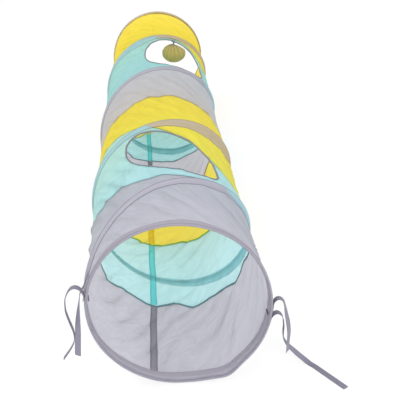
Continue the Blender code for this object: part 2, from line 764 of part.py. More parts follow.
def make_ties():
    lift = GAP + TIE_THICK / 2.0 + 0.0002
    side = (0.0, 1.0, 0.0)
    facing = (-0.9, 0.44, 0.0)
    lying = (0.84, 0.54, 0.0)
    long_left = [
        rim_station(math.radians(-65.0), lift, 0.0136),
        rim_station(math.radians(-68.0), lift, 0.0136),
        rim_station(math.radians(-71.0), lift + 0.0002, 0.0136),
        rim_station(math.radians(-74.0), lift + 0.0009, 0.0136),
        free(-0.1261, 0.0136, 0.1530, side),
        free(-0.1279, 0.0134, 0.1450, side),
        free(-0.1295, 0.0124, 0.1370, (-0.15, 0.99, 0.0)),
        free(-0.1308, 0.0100, 0.1290, (-0.35, 0.94, 0.0)),
        free(-0.1317, 0.0062, 0.1210, (-0.55, 0.83, 0.0)),
        free(-0.1323, 0.0018, 0.1125, (-0.73, 0.68, 0.0)),
        free(-0.1328, -0.0020, 0.1030, (-0.85, 0.53, 0.0)),
        free(-0.1335, -0.0043, 0.0935, facing),
        free(-0.1343, -0.0055, 0.0840, facing),
        free(-0.1351, -0.0060, 0.0745, facing),
        free(-0.1359, -0.0062, 0.0650, facing),
    ]
    make_tie("tie_left_long", long_left)
    short_left = [
        rim_station(math.radians(-81.0), lift, 0.0036),
        rim_station(math.radians(-79.0), lift, 0.0036),
        rim_station(math.radians(-77.2), lift + 0.0002, 0.0036),
        free(-0.1250, 0.0036, 0.1585, side),
        free(-0.1258, 0.0037, 0.1622, side),
        free(-0.1281, 0.0039, 0.1652, side),
        free(-0.1317, 0.0042, 0.1666, side),
        free(-0.1357, 0.0045, 0.1655, side),
        free(-0.1393, 0.0048, 0.1624, side),
        free(-0.1424, 0.0051, 0.1575, side),
        free(-0.1449, 0.0054, 0.1515, side),
        free(-0.1466, 0.0057, 0.1445, side),
        free(-0.1472, 0.0060, 0.1290, side),
        free(-0.1438, 0.0060, 0.1120, side),
        free(-0.1399, 0.0060, 0.0955, side),
        free(-0.1402, 0.0058, 0.0810, side),
        free(-0.1467, 0.0052, 0.0678, side),
        free(-0.1566, 0.0050, 0.0535, side),
    ]
    make_tie("tie_left_short", short_left)
    short_right = [
        rim_station(math.radians(99.0), lift, 0.0085),
        rim_station(math.radians(96.5), lift, 0.0085),
        rim_station(math.radians(94.0), lift + 0.0004, 0.0085),
        free(0.1296, 0.0085, 0.1214, side),
        free(0.1310, 0.0085, 0.1251, side),
        free(0.1337, 0.0085, 0.1277, side),
        free(0.1371, 0.0084, 0.1284, side),
        free(0.1404, 0.0083, 0.1268, (0.08, 1.0, 0.0)),
        free(0.1427, 0.0081, 0.1235, (0.16, 0.98, 0.02)),
        free(0.1441, 0.0078, 0.1188, (0.26, 0.96, 0.05)),
        free(0.1464, 0.0069, 0.1062, (0.48, 0.86, 0.13)),
        free(0.1495, 0.0057, 0.0905, (0.62, 0.75, 0.2)),
        free(0.1512, 0.0047, 0.0745, (0.62, 0.76, 0.13)),
        free(0.1504, 0.0039, 0.0585, (0.57, 0.82, 0.04)),
        free(0.1499, 0.0034, 0.0425, (0.55, 0.83, 0.0)),
    ]
    make_tie("tie_right_short", short_right)
    long_right = [
        rim_station(math.radians(108.0), lift, 0.0085),
        rim_station(math.radians(105.5), lift, 0.0087),
        rim_station(math.radians(103.0), lift + 0.0002, 0.0090),
        free(0.1274, 0.0094, 0.1009, side),
        free(0.1303, 0.0101, 0.1031, side),
        free(0.1340, 0.0110, 0.1038, side),
        free(0.1377, 0.0119, 0.1025, side),
        free(0.1408, 0.0127, 0.0996, side),
        free(0.1430, 0.0134, 0.0953, side),
        free(0.1444, 0.0140, 0.0902, side),
        free(0.1455, 0.0152, 0.0785, side),
        free(0.1453, 0.0164, 0.0660, side),
        free(0.1471, 0.0181, 0.0536, (0.1, 1.0, 0.0)),
        free(0.1531, 0.0219, 0.0408, (0.24, 0.97, 0.0)),
        free(0.1620, 0.0271, 0.0274, (0.41, 0.91, 0.0)),
        free(0.1724, 0.0309, 0.0140, (0.58, 0.81, 0.0)),
        free(0.1832, 0.0295, 0.0037, (0.74, 0.67, 0.0)),
        floor_free(0.1887, 0.0252, (0.8, 0.6, 0.0)),
        floor_free(0.1942, 0.0183, lying),
        floor_free(0.2058, 0.0008, lying),
        floor_free(0.2268, -0.0306, lying),
    ]
    make_tie("tie_right_long", long_right)
    make_tack("left_tack", math.radians(-81.0))
    make_tack("right_tack", math.radians(99.0))


def main():
    clear_scene()
    make_wire()
    make_casing()
    make_hem("front_hem", False)
    make_hem("rear_hem", True)
    bands = (
        ("grey_front", GREY, GREY_DARK, None),
        ("turquoise_front", TURQUOISE, TEAL, FRONT_WINDOW),
        ("yellow_front", YELLOW, GOLD, None),
        ("grey_rear", GREY, GREY_DARK, None),
        ("turquoise_rear", TURQUOISE, TEAL, REAR_WINDOW),
        ("yellow_rear", YELLOW, GOLD, None),
    )
    for index, (name, colour, strip, window) in enumerate(bands):
        make_band(name, index, colour, window)
        make_lap_seam("lap_" + name, index, strip, window)
        if index > 0:
            make_cross_seam("seam_" + str(index), index, GREY_DARK)
    make_binding("front_window_binding", 1, FRONT_WINDOW, TAPE)
    make_binding("rear_window_binding", 4, REAR_WINDOW, TAPE)
    make_ties()
    make_ball_group()


main()
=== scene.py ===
# %% [markdown]
# # A pop-up agility tunnel
# A thin cloth tube that one wound spring wire holds open, sewn from six bands, with a peep window in each turquoise
# band, a cloth ball in the rear window and two pairs of ribbons that tie the tunnel flat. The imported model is
# loaded first: its solids carry the motion, and the cloth made here takes their places one by one.

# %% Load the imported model
import math

import bmesh
import bpy
from mathutils import Matrix, Vector, noise


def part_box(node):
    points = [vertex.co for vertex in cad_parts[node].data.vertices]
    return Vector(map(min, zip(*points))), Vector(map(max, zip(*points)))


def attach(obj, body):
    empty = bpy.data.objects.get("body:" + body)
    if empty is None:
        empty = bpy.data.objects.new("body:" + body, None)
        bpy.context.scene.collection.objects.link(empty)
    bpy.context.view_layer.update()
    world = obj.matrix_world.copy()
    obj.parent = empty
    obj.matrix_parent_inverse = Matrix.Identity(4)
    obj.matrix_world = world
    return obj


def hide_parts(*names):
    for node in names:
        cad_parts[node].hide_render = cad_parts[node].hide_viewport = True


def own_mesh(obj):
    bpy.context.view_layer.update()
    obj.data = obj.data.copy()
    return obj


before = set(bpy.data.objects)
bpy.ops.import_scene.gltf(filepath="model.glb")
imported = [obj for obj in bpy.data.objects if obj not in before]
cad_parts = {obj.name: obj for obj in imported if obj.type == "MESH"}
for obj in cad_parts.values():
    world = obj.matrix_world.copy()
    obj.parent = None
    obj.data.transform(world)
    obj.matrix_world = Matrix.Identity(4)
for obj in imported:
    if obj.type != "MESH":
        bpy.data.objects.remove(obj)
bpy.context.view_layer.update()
scene = bpy.context.scene

# %% [markdown]
# ## The camera
# The photograph looks into the near end from a little above. Lens, place and tilt come from fitting a straight
# tube to its mouth, its ridges and its far rim. Plain rotations say it best: turn, lean down, then a slight roll.

# %% Camera
PICTURE_WIDTH = 400.0
FOCAL_PIXELS = 723.0
SENSOR_WIDTH = 36.0
lens = bpy.data.cameras.new("near_end_view")
lens.sensor_width = SENSOR_WIDTH
lens.lens = SENSOR_WIDTH * FOCAL_PIXELS / PICTURE_WIDTH
near_end_view = bpy.data.objects.new("near_end_view", lens)
scene.collection.objects.link(near_end_view)
turn = Matrix.Rotation(math.radians(-3.6), 4, "Z")
lean = Matrix.Rotation(math.radians(90.0 - 26.1), 4, "X")
roll = Matrix.Rotation(math.radians(-1.2), 4, "Z")
near_end_view.matrix_world = Matrix.Translation((-0.0172, -1.445, 0.675)) @ turn @ lean @ roll
scene.camera = near_end_view
scene.view_settings.view_transform = "Standard"
print("lens", round(lens.lens, 1), "mm")

# %% [markdown]
# ## Measures of the tube
# Everything sewn follows one tube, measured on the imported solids. Angles run from the top, clockwise as seen from
# the near end, and places along it run from the near rim. The tube lies on the floor, so a soft maximum presses
# its lowest part flat. Being soft it isn't quite straight: its middle bows to the left, the bottom of the near rim
# is pushed to the right with a blunt corner, and the rim's left side is pressed in.

# %% Tube measures
def solid_box(node):
    """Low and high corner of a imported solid."""
    return tuple(Vector(corner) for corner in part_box(node))


front_low, front_high = solid_box("front_hem")
LENGTH = solid_box("rear_hem")[1].y - front_low.y
HEM_WIDTH = front_high.y - front_low.y
COLUMN = math.radians(9.0)
RIM_RADIUS = 0.5 * (front_high.x - front_low.x) / math.cos(COLUMN / 2.0)
AXIS_Z = RIM_RADIUS * math.cos(0.5 * COLUMN)
CLOTH_RADIUS = RIM_RADIUS - 0.0036
FULL_TURN = 2.0 * math.pi
CLOTH_ROUND = FULL_TURN * CLOTH_RADIUS
BOW = 0.0065
RIM_LEAN = 0.0100
CORNER = 0.0060
CORNER_DEGREES = 153.0
PRESSED = 0.0042
FLAT_BLEND = 0.003


def unit(value):
    """A value held between 0 and 1."""
    return min(1.0, max(0.0, value))


def ease(share):
    """Smooth step from 0 to 1."""
    return share * share * (3.0 - 2.0 * share)


def sideways(angle, along):
    """How far the soft tube lies to the right of a straight one."""
    low_share = 0.5 - 0.5 * math.cos(angle)
    lean = RIM_LEAN * low_share ** 3 * math.exp(-along / 0.12)
    press = PRESSED * max(0.0, -math.sin(angle)) ** 2 * math.exp(-along / 0.03)
    return lean + press - BOW * math.sin(math.pi * along / LENGTH)


def on_tube(angle, radius, along):
    """Point of the tube at an angle and radius, pressed flat on the floor."""
    off_corner = (math.degrees(angle) % 360.0 - CORNER_DEGREES) / 9.0
    corner = CORNER * math.exp(-off_corner ** 2 - along / 0.06)
    z = AXIS_Z + (radius + corner) * math.cos(angle)
    low = RIM_RADIUS - radius
    soft = 0.5 * (z + low + math.sqrt((z - low) ** 2 + FLAT_BLEND ** 2)) - 0.0004
    x = (radius + corner) * math.sin(angle) + sideways(angle, along)
    return Vector((x, along - LENGTH / 2.0, max(soft, low)))


print("tube", round(LENGTH, 3), "m long, rim", round(2.0 * RIM_RADIUS, 3), "m across")

# %% [markdown]
# ## Placing a flat grid
# Cloth, tape and ribbon are flat goods that have been bent. Each starts as one flat grid, whose points a short
# function then puts in place. The grid keeps its flat measures as a UV map in metres, so that a weave or a row of
# stitches has its true size. A Solidify modifier gives the cloth its thickness.

# %% Flat goods
def new_piece(name, work):
    """Smooth object at the origin from a finished bmesh."""
    for face in work.faces:
        face.smooth = True
    mesh = bpy.data.meshes.new(name)
    work.to_mesh(mesh)
    work.free()
    piece = bpy.data.objects.new(name, mesh)
    scene.collection.objects.link(piece)
    return piece


def flat_goods(name, columns, rows, place, size, thickness, cut=None, marks=(), closed=False, offset=0.0):
    """A bent sheet: place gives each point and its marks, size how large it is flat, cut the faces to omit."""
    work = bmesh.new()
    bmesh.ops.create_grid(work, x_segments=columns, y_segments=rows, size=0.5)
    uv = work.loops.layers.uv.new("flat")
    layers = [work.verts.layers.float.new(mark) for mark in marks]
    if cut:
        middles = [(face, face.calc_center_median()) for face in work.faces]
        gone = [face for face, at in middles if cut(at.x + 0.5, at.y + 0.5)]
        bmesh.ops.delete(work, geom=gone, context="FACES")
    for face in work.faces:
        for loop in face.loops:
            u, v = loop.vert.co.x + 0.5, loop.vert.co.y + 0.5
            loop[uv].uv = size(u, v) if callable(size) else (u * size[0], (v - 0.5) * size[1])
    for vert in work.verts:
        spot = place(vert.co.x + 0.5, vert.co.y + 0.5)
        if marks:
            for layer, value in zip(layers, spot[1]):
                vert[layer] = value
            spot = spot[0]
        vert.co = spot
    if closed:
        bmesh.ops.remove_doubles(work, verts=work.verts, dist=1e-5)
    bmesh.ops.recalc_face_normals(work, faces=work.faces)
    piece = new_piece(name, work)
    if thickness:
        wall = piece.modifiers.new("cloth_thickness", "SOLIDIFY")
        wall.thickness = thickness
        wall.offset = offset
    return piece


def dress(piece, node, material, body=None):
    """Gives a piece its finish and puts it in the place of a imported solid."""
    piece.data.materials.append(material)
    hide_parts(node)
    if body:
        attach(piece, body)
    print(piece.name, len(piece.data.polygons), "faces")


# %% [markdown]
# ## The finishes' shared parts
# All the textiles share the same few effects, so each is made once as a node group. A plain weave is two rows of
# threads that pass over and under each other. Creases are stretched noise, folded at its middle value so that it
# makes lines. A stitch row is a dashed line at a set distance from the middle of a tape.

# %% Node helpers
def srgb(red, green, blue):
    """Colour as read from a screen, in linear light."""
    shares = [value / 255.0 for value in (red, green, blue)]
    return (*(s / 12.92 if s <= 0.04045 else ((s + 0.055) / 1.055) ** 2.4 for s in shares), 1.0)


def darker(colour, share):
    """A share of a colour."""
    return (*(part * share for part in colour[:3]), 1.0)


def feed(tree, node, inputs):
    """Links or sets a node's inputs, by name or number."""
    for key, value in dict(inputs).items():
        if isinstance(value, bpy.types.NodeSocket):
            tree.links.new(value, node.inputs[key])
        else:
            node.inputs[key].default_value = value


def add(tree, kind, inputs=(), **settings):
    """New node with its settings and inputs; gives its outputs."""
    node = tree.nodes.new("ShaderNode" + kind)
    for key, value in settings.items():
        setattr(node, key, value)
    feed(tree, node, inputs)
    return node.outputs


def calc(tree, operation, *values):
    """One step of arithmetic."""
    return add(tree, "Math", enumerate(values), operation=operation)[0]


def blend(tree, share, first, second):
    """Mixes two colours by a share from 0 to 1."""
    return add(tree, "Mix", {"Factor": share, "A": first, "B": second}, data_type="RGBA")["Result"]


def layers(tree, tone, *coats):
    """Mixes coats of colour over a tone, each by a share of its mask."""
    for mask, share, colour in coats:
        tone = blend(tree, calc(tree, "MULTIPLY", mask, share), tone, colour)
    return tone


def remap(tree, value, low, high, start=0.0, stop=1.0):
    """Smooth step of a value from one range to another."""
    return add(tree, "MapRange", enumerate((value, low, high, start, stop)), interpolation_type="SMOOTHSTEP")[0]


def speckle(tree, place, **values):
    """Noise over a place."""
    return add(tree, "TexNoise", {"Vector": place, **values})["Fac"]


def split(tree, place):
    """The X, Y and Z of a place."""
    return add(tree, "SeparateXYZ", {0: place})


def mesh_mark(tree, name):
    """A value that was stored on the mesh."""
    return add(tree, "Attribute", attribute_name=name)["Fac"]


def use_group(tree, group, **values):
    """Places a group in a material; gives its outputs."""
    return add(tree, "Group", values, node_tree=group)


def new_group(name, inputs, outputs):
    """Empty node group with a place and named numbers; gives its tree, inputs and last node."""
    tree = bpy.data.node_groups.new(name, "ShaderNodeTree")
    tree.interface.new_socket("Place", in_out="INPUT", socket_type="NodeSocketVector")
    for socket, value in inputs.items():
        made = tree.interface.new_socket(socket, in_out="INPUT", socket_type="NodeSocketFloat")
        made.default_value = value
    for socket in outputs:
        tree.interface.new_socket(socket, in_out="OUTPUT", socket_type="NodeSocketFloat")
    return tree, tree.nodes.new("NodeGroupInput").outputs, tree.nodes.new("NodeGroupOutput")


# %% Weave, creases and stitches
tree, given, last_node = new_group("plain_weave", {"Thread": 0.0006}, ("Height", "Mottle"))
plain_weave = tree
parts = split(tree, given["Place"])
pace = calc(tree, "DIVIDE", FULL_TURN, given["Thread"])
warp, weft = (calc(tree, "SINE", calc(tree, "MULTIPLY", parts[way], pace)) for way in "XY")
over_under = calc(tree, "MULTIPLY_ADD", calc(tree, "MULTIPLY", warp, weft), 0.5, 0.5)
long_way = add(tree, "Mapping", {"Vector": given["Place"], "Scale": (28.0, 210.0, 1.0)})[0]
feed(tree, last_node, {"Height": over_under, "Mottle": speckle(tree, long_way, Scale=1.0, Detail=3.0)})

tree, given, last_node = new_group("creases", {"Fineness": 20.0}, ("Height",))
creases = tree
slant = {"Vector": given["Place"], "Rotation": (0.0, 0.0, math.radians(-48.0)), "Scale": (1.0, 0.28, 1.0)}
stretched = add(tree, "Mapping", slant, vector_type="TEXTURE")[0]
rumple = speckle(tree, stretched, Scale=given["Fineness"], Detail=2.5, Distortion=0.6)
folded = calc(tree, "ABSOLUTE", calc(tree, "MULTIPLY_ADD", rumple, 2.0, -1.0))
feed(tree, last_node, {"Height": calc(tree, "SUBTRACT", 1.0, folded)})

stitch_sizes = {"Row": 0.005, "Pitch": 0.003, "Thickness": 0.0005}
tree, given, last_node = new_group("stitch_row", stitch_sizes, ("Mask",))
stitch_row = tree
parts = split(tree, given["Place"])
dash = calc(tree, "LESS_THAN", calc(tree, "FRACT", calc(tree, "DIVIDE", parts["X"], given["Pitch"])), 0.7)
off_row = calc(tree, "SUBTRACT", calc(tree, "ABSOLUTE", parts["Y"]), given["Row"])
line = calc(tree, "LESS_THAN", calc(tree, "ABSOLUTE", off_row), given["Thickness"])
feed(tree, last_node, {"Mask": calc(tree, "MULTIPLY", dash, line)})
print("node groups:", plain_weave.name, creases.name, stitch_row.name)

# %% [markdown]
# ## Tape and ribbon finish
# Hems, bindings, seams and ribbons are narrow woven goods: a tight weave, painted darker towards the selvedges as
# edge shade, with rows of stitches where they are sewn down. Thin cloth also lets light through, so its shader is
# mixed with a translucent one that has the same bumps.

# %% Tape finish
CLOTH_THREAD = 0.0006
TAPE_THREAD = 0.0007
STITCH_PITCH = 0.0028
STITCH_HALF = 0.00035


def new_material(name):
    """Material and its node tree."""
    material = bpy.data.materials.new(name)
    material.use_nodes = True
    return material, material.node_tree


def flat_place(tree):
    """Coordinates on the flat piece, in metres."""
    return add(tree, "UVMap", uv_map="flat")["UV"]


def woven(name, thread):
    """New woven material; gives it with its tree, flat coordinates and weave."""
    material, tree = new_material(name)
    flat = flat_place(tree)
    return material, tree, flat, use_group(tree, plain_weave, Place=flat, Thread=thread)


def raise_bump(tree, height, distance, strength, **under):
    """Normal of a height, over another one given as Normal."""
    return add(tree, "Bump", {"Distance": distance, "Strength": strength, "Height": height, **under})["Normal"]


def mix_surface(tree, share, first, second):
    """Makes the surface a mix of two shaders."""
    both = add(tree, "MixShader", enumerate((share, first, second)))[0]
    feed(tree, tree.nodes["Material Output"], {"Surface": both})


def set_surface(tree, tone, normal, roughness, sheen=0.0, glow=0.0, through=None):
    """Feeds the shader; glow is the share of light let through, in the colour through."""
    shader = tree.nodes["Principled BSDF"]
    feed(tree, shader, {"Base Color": tone, "Normal": normal, "Roughness": roughness, "Sheen Weight": sheen})
    if glow:
        thin = {"Color": tone if through is None else through, "Normal": normal}
        mix_surface(tree, glow, shader.outputs[0], add(tree, "BsdfTranslucent", thin)[0])


def sewn_row(tree, flat, row, weave):
    """Mask of a stitch row, and the normal of the weave with the stitches on it."""
    stitch = use_group(tree, stitch_row, Place=flat, Row=row, Pitch=STITCH_PITCH, Thickness=STITCH_HALF)["Mask"]
    return stitch, raise_bump(tree, calc(tree, "MULTIPLY_ADD", stitch, 1.5, weave["Height"]), 0.0002, 0.6)


def tape_finish(name, colour, thread, half, row, glow=0.25):
    """Woven tape: colour, stitch colour, half its width and where its stitches run."""
    material, tree, flat, weave = woven(name, TAPE_THREAD)
    stitch, normal = sewn_row(tree, flat, row, weave)
    # Painted edge shade: the tape is darkened towards its selvedges.
    edge = remap(tree, calc(tree, "ABSOLUTE", split(tree, flat)["Y"]), half * 0.72, half)
    mottle_and_shade = darker(colour, 0.62)
    tone = layers(tree, colour, (weave["Mottle"], 0.35, mottle_and_shade), (edge, 0.55, mottle_and_shade), (stitch, 1.0, thread))
    set_surface(tree, tone, normal, 0.78, 0.15, glow)
    return material


ribbon_finish = tape_finish("ribbon_satin", srgb(132, 128, 146), srgb(104, 100, 118), 0.0045, 0.0060, 0.2)
print("made", ribbon_finish.name)

# %% [markdown]
# ## The ribbons
# Each of the two ties at the near rim is a ribbon with two tails. On the left one hangs straight and one loops
# out; on the right one folds over itself and one runs out over the floor. Ribbon is limp across its flat side
# only, so each tail is a smooth path with a direction for its width. A light cupping keeps it from looking like card.

# %% Ribbon paths
RIBBON_WIDTH = 0.0090
RIBBON_THICK = 0.0005
RIBBON_LIFT = 0.0009
RIBBON_CUP = 0.0006
ON_FLOOR = 0.0007
SIDE = (0.0, 1.0, 0.0)
FACING = (-0.9, 0.44, 0.0)
LYING = (0.84, 0.54, 0.0)
# Each tail starts on the near rim (angle in degrees, extra lift, place along the tube) and then goes free
# (x, place along the tube, height, and the direction of its width where that isn't SIDE).
RIBBON_ROUTES = {
    "tie_left_long": (
        ((-65.0, 0.0, 0.0136), (-68.0, 0.0, 0.0136), (-71.0, 0.0002, 0.0136), (-74.0, 0.0009, 0.0136)),
        ((-0.1261, 0.0136, 0.1530), (-0.1279, 0.0134, 0.1450),
         (-0.1295, 0.0124, 0.1370, (-0.15, 0.99, 0.0)), (-0.1308, 0.0100, 0.1290, (-0.35, 0.94, 0.0)),
         (-0.1317, 0.0062, 0.1210, (-0.55, 0.83, 0.0)), (-0.1323, 0.0018, 0.1125, (-0.73, 0.68, 0.0)),
         (-0.1328, -0.0020, 0.1030, (-0.85, 0.53, 0.0)), (-0.1335, -0.0043, 0.0935, FACING),
         (-0.1343, -0.0055, 0.0840, FACING), (-0.1351, -0.0060, 0.0745, FACING),
         (-0.1359, -0.0062, 0.0650, FACING))),
    "tie_left_short": (
        ((-81.0, 0.0, 0.0036), (-79.0, 0.0, 0.0036), (-77.2, 0.0002, 0.0036)),
        ((-0.1221, 0.0036, 0.1585), (-0.1238, 0.0037, 0.1622), (-0.1270, 0.0039, 0.1651),
         (-0.1311, 0.0042, 0.1665), (-0.1357, 0.0045, 0.1655), (-0.1393, 0.0048, 0.1624),
         (-0.1424, 0.0051, 0.1575), (-0.1449, 0.0054, 0.1515), (-0.1466, 0.0057, 0.1445),
         (-0.1472, 0.0060, 0.1290), (-0.1438, 0.0060, 0.1120), (-0.1399, 0.0060, 0.0955),
         (-0.1402, 0.0058, 0.0810), (-0.1467, 0.0052, 0.0678), (-0.1566, 0.0050, 0.0535))),
    "tie_right_short": (
        ((99.0, 0.0, 0.0085), (96.5, 0.0, 0.0085), (94.0, 0.0004, 0.0085)),
        ((0.1296, 0.0085, 0.1214), (0.1310, 0.0085, 0.1251), (0.1337, 0.0085, 0.1277),
         (0.1371, 0.0084, 0.1284), (0.1404, 0.0083, 0.1268, (0.08, 1.0, 0.0)),
         (0.1427, 0.0081, 0.1235, (0.16, 0.98, 0.02)), (0.1441, 0.0078, 0.1188, (0.26, 0.96, 0.05)),
         (0.1464, 0.0069, 0.1062, (0.48, 0.86, 0.13)), (0.1495, 0.0057, 0.0905, (0.62, 0.75, 0.2)),
         (0.1512, 0.0047, 0.0745, (0.62, 0.76, 0.13)), (0.1504, 0.0039, 0.0585, (0.57, 0.82, 0.04)),
         (0.1499, 0.0034, 0.0425, (0.55, 0.83, 0.0)))),
    "tie_right_long": (
        ((108.0, 0.0, 0.0085), (105.5, 0.0, 0.0087), (103.0, 0.0002, 0.0090)),
        ((0.1285, 0.0094, 0.1008), (0.1310, 0.0101, 0.1030), (0.1343, 0.0110, 0.1037),
         (0.1377, 0.0119, 0.1025), (0.1408, 0.0127, 0.0996), (0.1430, 0.0134, 0.0953),
         (0.1444, 0.0140, 0.0902), (0.1455, 0.0152, 0.0785), (0.1453, 0.0164, 0.0660),
         (0.1471, 0.0181, 0.0536, (0.1, 1.0, 0.0)), (0.1531, 0.0219, 0.0408, (0.24, 0.97, 0.0)),
         (0.1620, 0.0271, 0.0274, (0.41, 0.91, 0.0)), (0.1724, 0.0309, 0.0140, (0.58, 0.81, 0.0)),
         (0.1832, 0.0295, 0.0037, (0.74, 0.67, 0.0)), (0.1887, 0.0252, ON_FLOOR, (0.8, 0.6, 0.0)),
         (0.1942, 0.0183, ON_FLOOR, LYING), (0.2058, 0.0008, ON_FLOOR, LYING),
         (0.2268, -0.0306, ON_FLOOR, LYING))),
}


# %% Sew on the ribbons
def ribbon_stations(on_rim, free):
    """Points of a tail, each with the direction of its width."""
    stations = []
    for degrees, lift, along in on_rim:
        angle = math.radians(degrees)
        out = Vector((math.sin(angle), 0.0, math.cos(angle)))
        stations.append((on_tube(angle, RIM_RADIUS, along) + out * (RIBBON_LIFT + lift), Vector(SIDE)))
    for x, along, z, *wide in free:
        stations.append((Vector((x, along - LENGTH / 2.0, z)), Vector(*wide or [SIDE])))
    return stations


def smooth_route(stations, steps=8):
    """Smooth line through the stations, with the width direction carried along."""
    line = []
    last = len(stations) - 1
    for i in range(last):
        before, here = stations[max(i - 1, 0)][0], stations[i][0]
        ahead, beyond = stations[i + 1][0], stations[min(i + 2, last)][0]
        for j in range(steps):
            t = j / steps
            spot = here + (ahead - before) * 0.5 * t
            spot += (before * 2.0 - here * 5.0 + ahead * 4.0 - beyond) * 0.5 * t * t
            spot += (here * 3.0 - before - ahead * 3.0 + beyond) * 0.5 * t ** 3
            line.append((spot, stations[i][1].lerp(stations[i + 1][1], t)))
    line.append(stations[-1])
    return line


def make_ribbon(node, on_rim, free):
    """One tail of a tie, laid along its route."""
    line = smooth_route(ribbon_stations(on_rim, free))
    last = len(line) - 1
    reach = 0.0
    for (a, _), (b, _) in zip(line, line[1:]):
        reach += (b - a).length

    def place(u, v):
        i = round(u * last)
        here, wide = line[i]
        run = (line[min(i + 1, last)][0] - line[max(i - 1, 0)][0]).normalized()
        wide = (wide - run * wide.dot(run)).normalized()
        cup = run.cross(wide) * (RIBBON_CUP * ((2.0 * v - 1.0) ** 2 - 0.4))
        spot = here + wide * (v - 0.5) * RIBBON_WIDTH + cup
        spot.z = max(spot.z, RIBBON_THICK / 2.0)
        return spot

    piece = flat_goods("ribbon_" + node[4:], last, 6, place, (reach, RIBBON_WIDTH), RIBBON_THICK)
    dress(piece, node, ribbon_finish, "front_rim")
    print(piece.name, round(reach, 3), "m")


for node, (on_rim, free) in RIBBON_ROUTES.items():
    make_ribbon(node, on_rim, free)

# %% [markdown]
# ## The wire's path and the cloth on it
# One wire makes a closed turn at each rim and about four open turns between them. The photograph shows where each
# crosses the top, and a cubic that never overshoots joins these places. The cloth stands highest on the wire and
# draws in between two turns, with slanting pull lines where the leaning wire drags it.

# %% Wire path
TOP_CROSSINGS = (0.103, 0.293, 0.551, 0.775)
START_TURN = -0.3125
END_TURN = 3.9875
RIM_START = 0.0040
RIM_STOP = 0.0082
WIRE_TURNS = (START_TURN - 1.0, START_TURN, 0.0, 1.0, 2.0, 3.0, END_TURN, END_TURN + 1.0)
WIRE_PLACES = (RIM_START, RIM_STOP, *(share * LENGTH for share in TOP_CROSSINGS),
               LENGTH - RIM_STOP, LENGTH - RIM_START)


def end_slopes(xs, ys):
    """Slopes for a cubic that never overshoots its points."""
    rise = [(ys[i + 1] - ys[i]) / (xs[i + 1] - xs[i]) for i in range(len(xs) - 1)]
    middle = [2.0 * a * b / (a + b) if a * b > 0.0 else 0.0 for a, b in zip(rise, rise[1:])]
    return [rise[0], *middle, rise[-1]]


WIRE_SLOPES = end_slopes(WIRE_TURNS, WIRE_PLACES)


def wire_along(turn):
    """Place of the wire along the tube after so many turns."""
    cell = 0
    while cell < len(WIRE_TURNS) - 2 and turn > WIRE_TURNS[cell + 1]:
        cell += 1
    width = WIRE_TURNS[cell + 1] - WIRE_TURNS[cell]
    t = (turn - WIRE_TURNS[cell]) / width
    start = (2 * t ** 3 - 3 * t ** 2 + 1) * WIRE_PLACES[cell]
    start += (t ** 3 - 2 * t ** 2 + t) * width * WIRE_SLOPES[cell]
    stop = (3 * t ** 2 - 2 * t ** 3) * WIRE_PLACES[cell + 1]
    stop += (t ** 3 - t ** 2) * width * WIRE_SLOPES[cell + 1]
    return start + stop


# %% Cloth over the wire
SLACK = 0.0070
PULL_HEIGHT = 0.0038
FINE_HEIGHT = 0.0012
known_stops = {}


def wire_stops(angle):
    """Places where the wire crosses one line along the tube."""
    share = (angle / FULL_TURN + 0.5) % 1.0 - 0.5
    key = round(share, 5)
    if key not in known_stops:
        turns = [share + n for n in range(-1, 5) if START_TURN <= share + n <= END_TURN]
        known_stops[key] = sorted([RIM_START, LENGTH - RIM_START, *(wire_along(turn) for turn in turns)])
    return known_stops[key]


def between_wires(angle, along):
    """Wire turns before and after a place, along the tube."""
    stops = wire_stops(angle)
    before = max((s for s in stops if s <= along), default=stops[0])
    after = min((s for s in stops if s > along), default=stops[-1])
    return before, max(after, before + 1e-4)


def wire_arch(angle, along):
    """0 on the wire to 1 midway between two turns, and the distance between these turns."""
    before, after = between_wires(angle, along)
    t = unit((along - before) / (after - before))
    return 4.0 * t * (1.0 - t), after - before


def pull_line(angle, along):
    """Height of the slanting pull lines, from 0 to 1."""
    where = Vector((2.2 * math.sin(angle), 2.2 * math.cos(angle), along * 7.0))
    patch = unit(noise.noise(where) + 0.55)
    slant = 8.5 * angle + 60.0 * along + 2.2 * noise.noise(where * 0.7)
    return patch * (1.0 - abs(math.sin(slant))) ** 2


def cloth_radius(angle, along):
    """Radius of the cloth with its draw between the wires and its pull lines."""
    arch, apart = wire_arch(angle, along)
    room = min(1.0, apart / (0.2 * LENGTH))
    up = max(0.0, math.cos(angle))
    draw = SLACK * room * arch * (0.25 + 0.75 * up)
    fine = noise.noise(Vector((9.0 * math.sin(angle), 9.0 * math.cos(angle), along * 22.0)))
    pull = PULL_HEIGHT * (pull_line(angle, along) - 0.2)
    return CLOTH_RADIUS - draw + arch * (room * FINE_HEIGHT * fine + pull)


print("wire turns:", round(END_TURN - START_TURN + 2.0, 2), "slack", SLACK)

# %% [markdown]
# ## Where the bands meet
# The cross seams were sewn by eye, so none is a true ring. Each is a mean place, slow waves and a line of small
# jags, and three were also drawn far out of line, at the right and low down. Bands, seam strips and lap strips all
# ask one function where a seam is, so they meet without gaps.

# %% Seam lines
# Each seam has its mean place, waves once and twice round, a lean to one side and a tilt of its top.
SEAMS = (
    (0.1405, 0.0085, 0.0040, -0.008, 0.0),
    (0.2845, 0.0115, 0.0020, 0.0, -0.060),
    (0.4025, -0.0155, -0.0060, 0.016, 0.0),
    (0.5775, 0.0225, 0.0, 0.0, 0.040),
    (0.7735, 0.0025, 0.0040, 0.048, 0.0),
)
BAND_EDGES = [0.0, *(seam[0] for seam in SEAMS), 1.0]
CLOTH_EDGE = 0.0014
SEAM_JAGS = 26
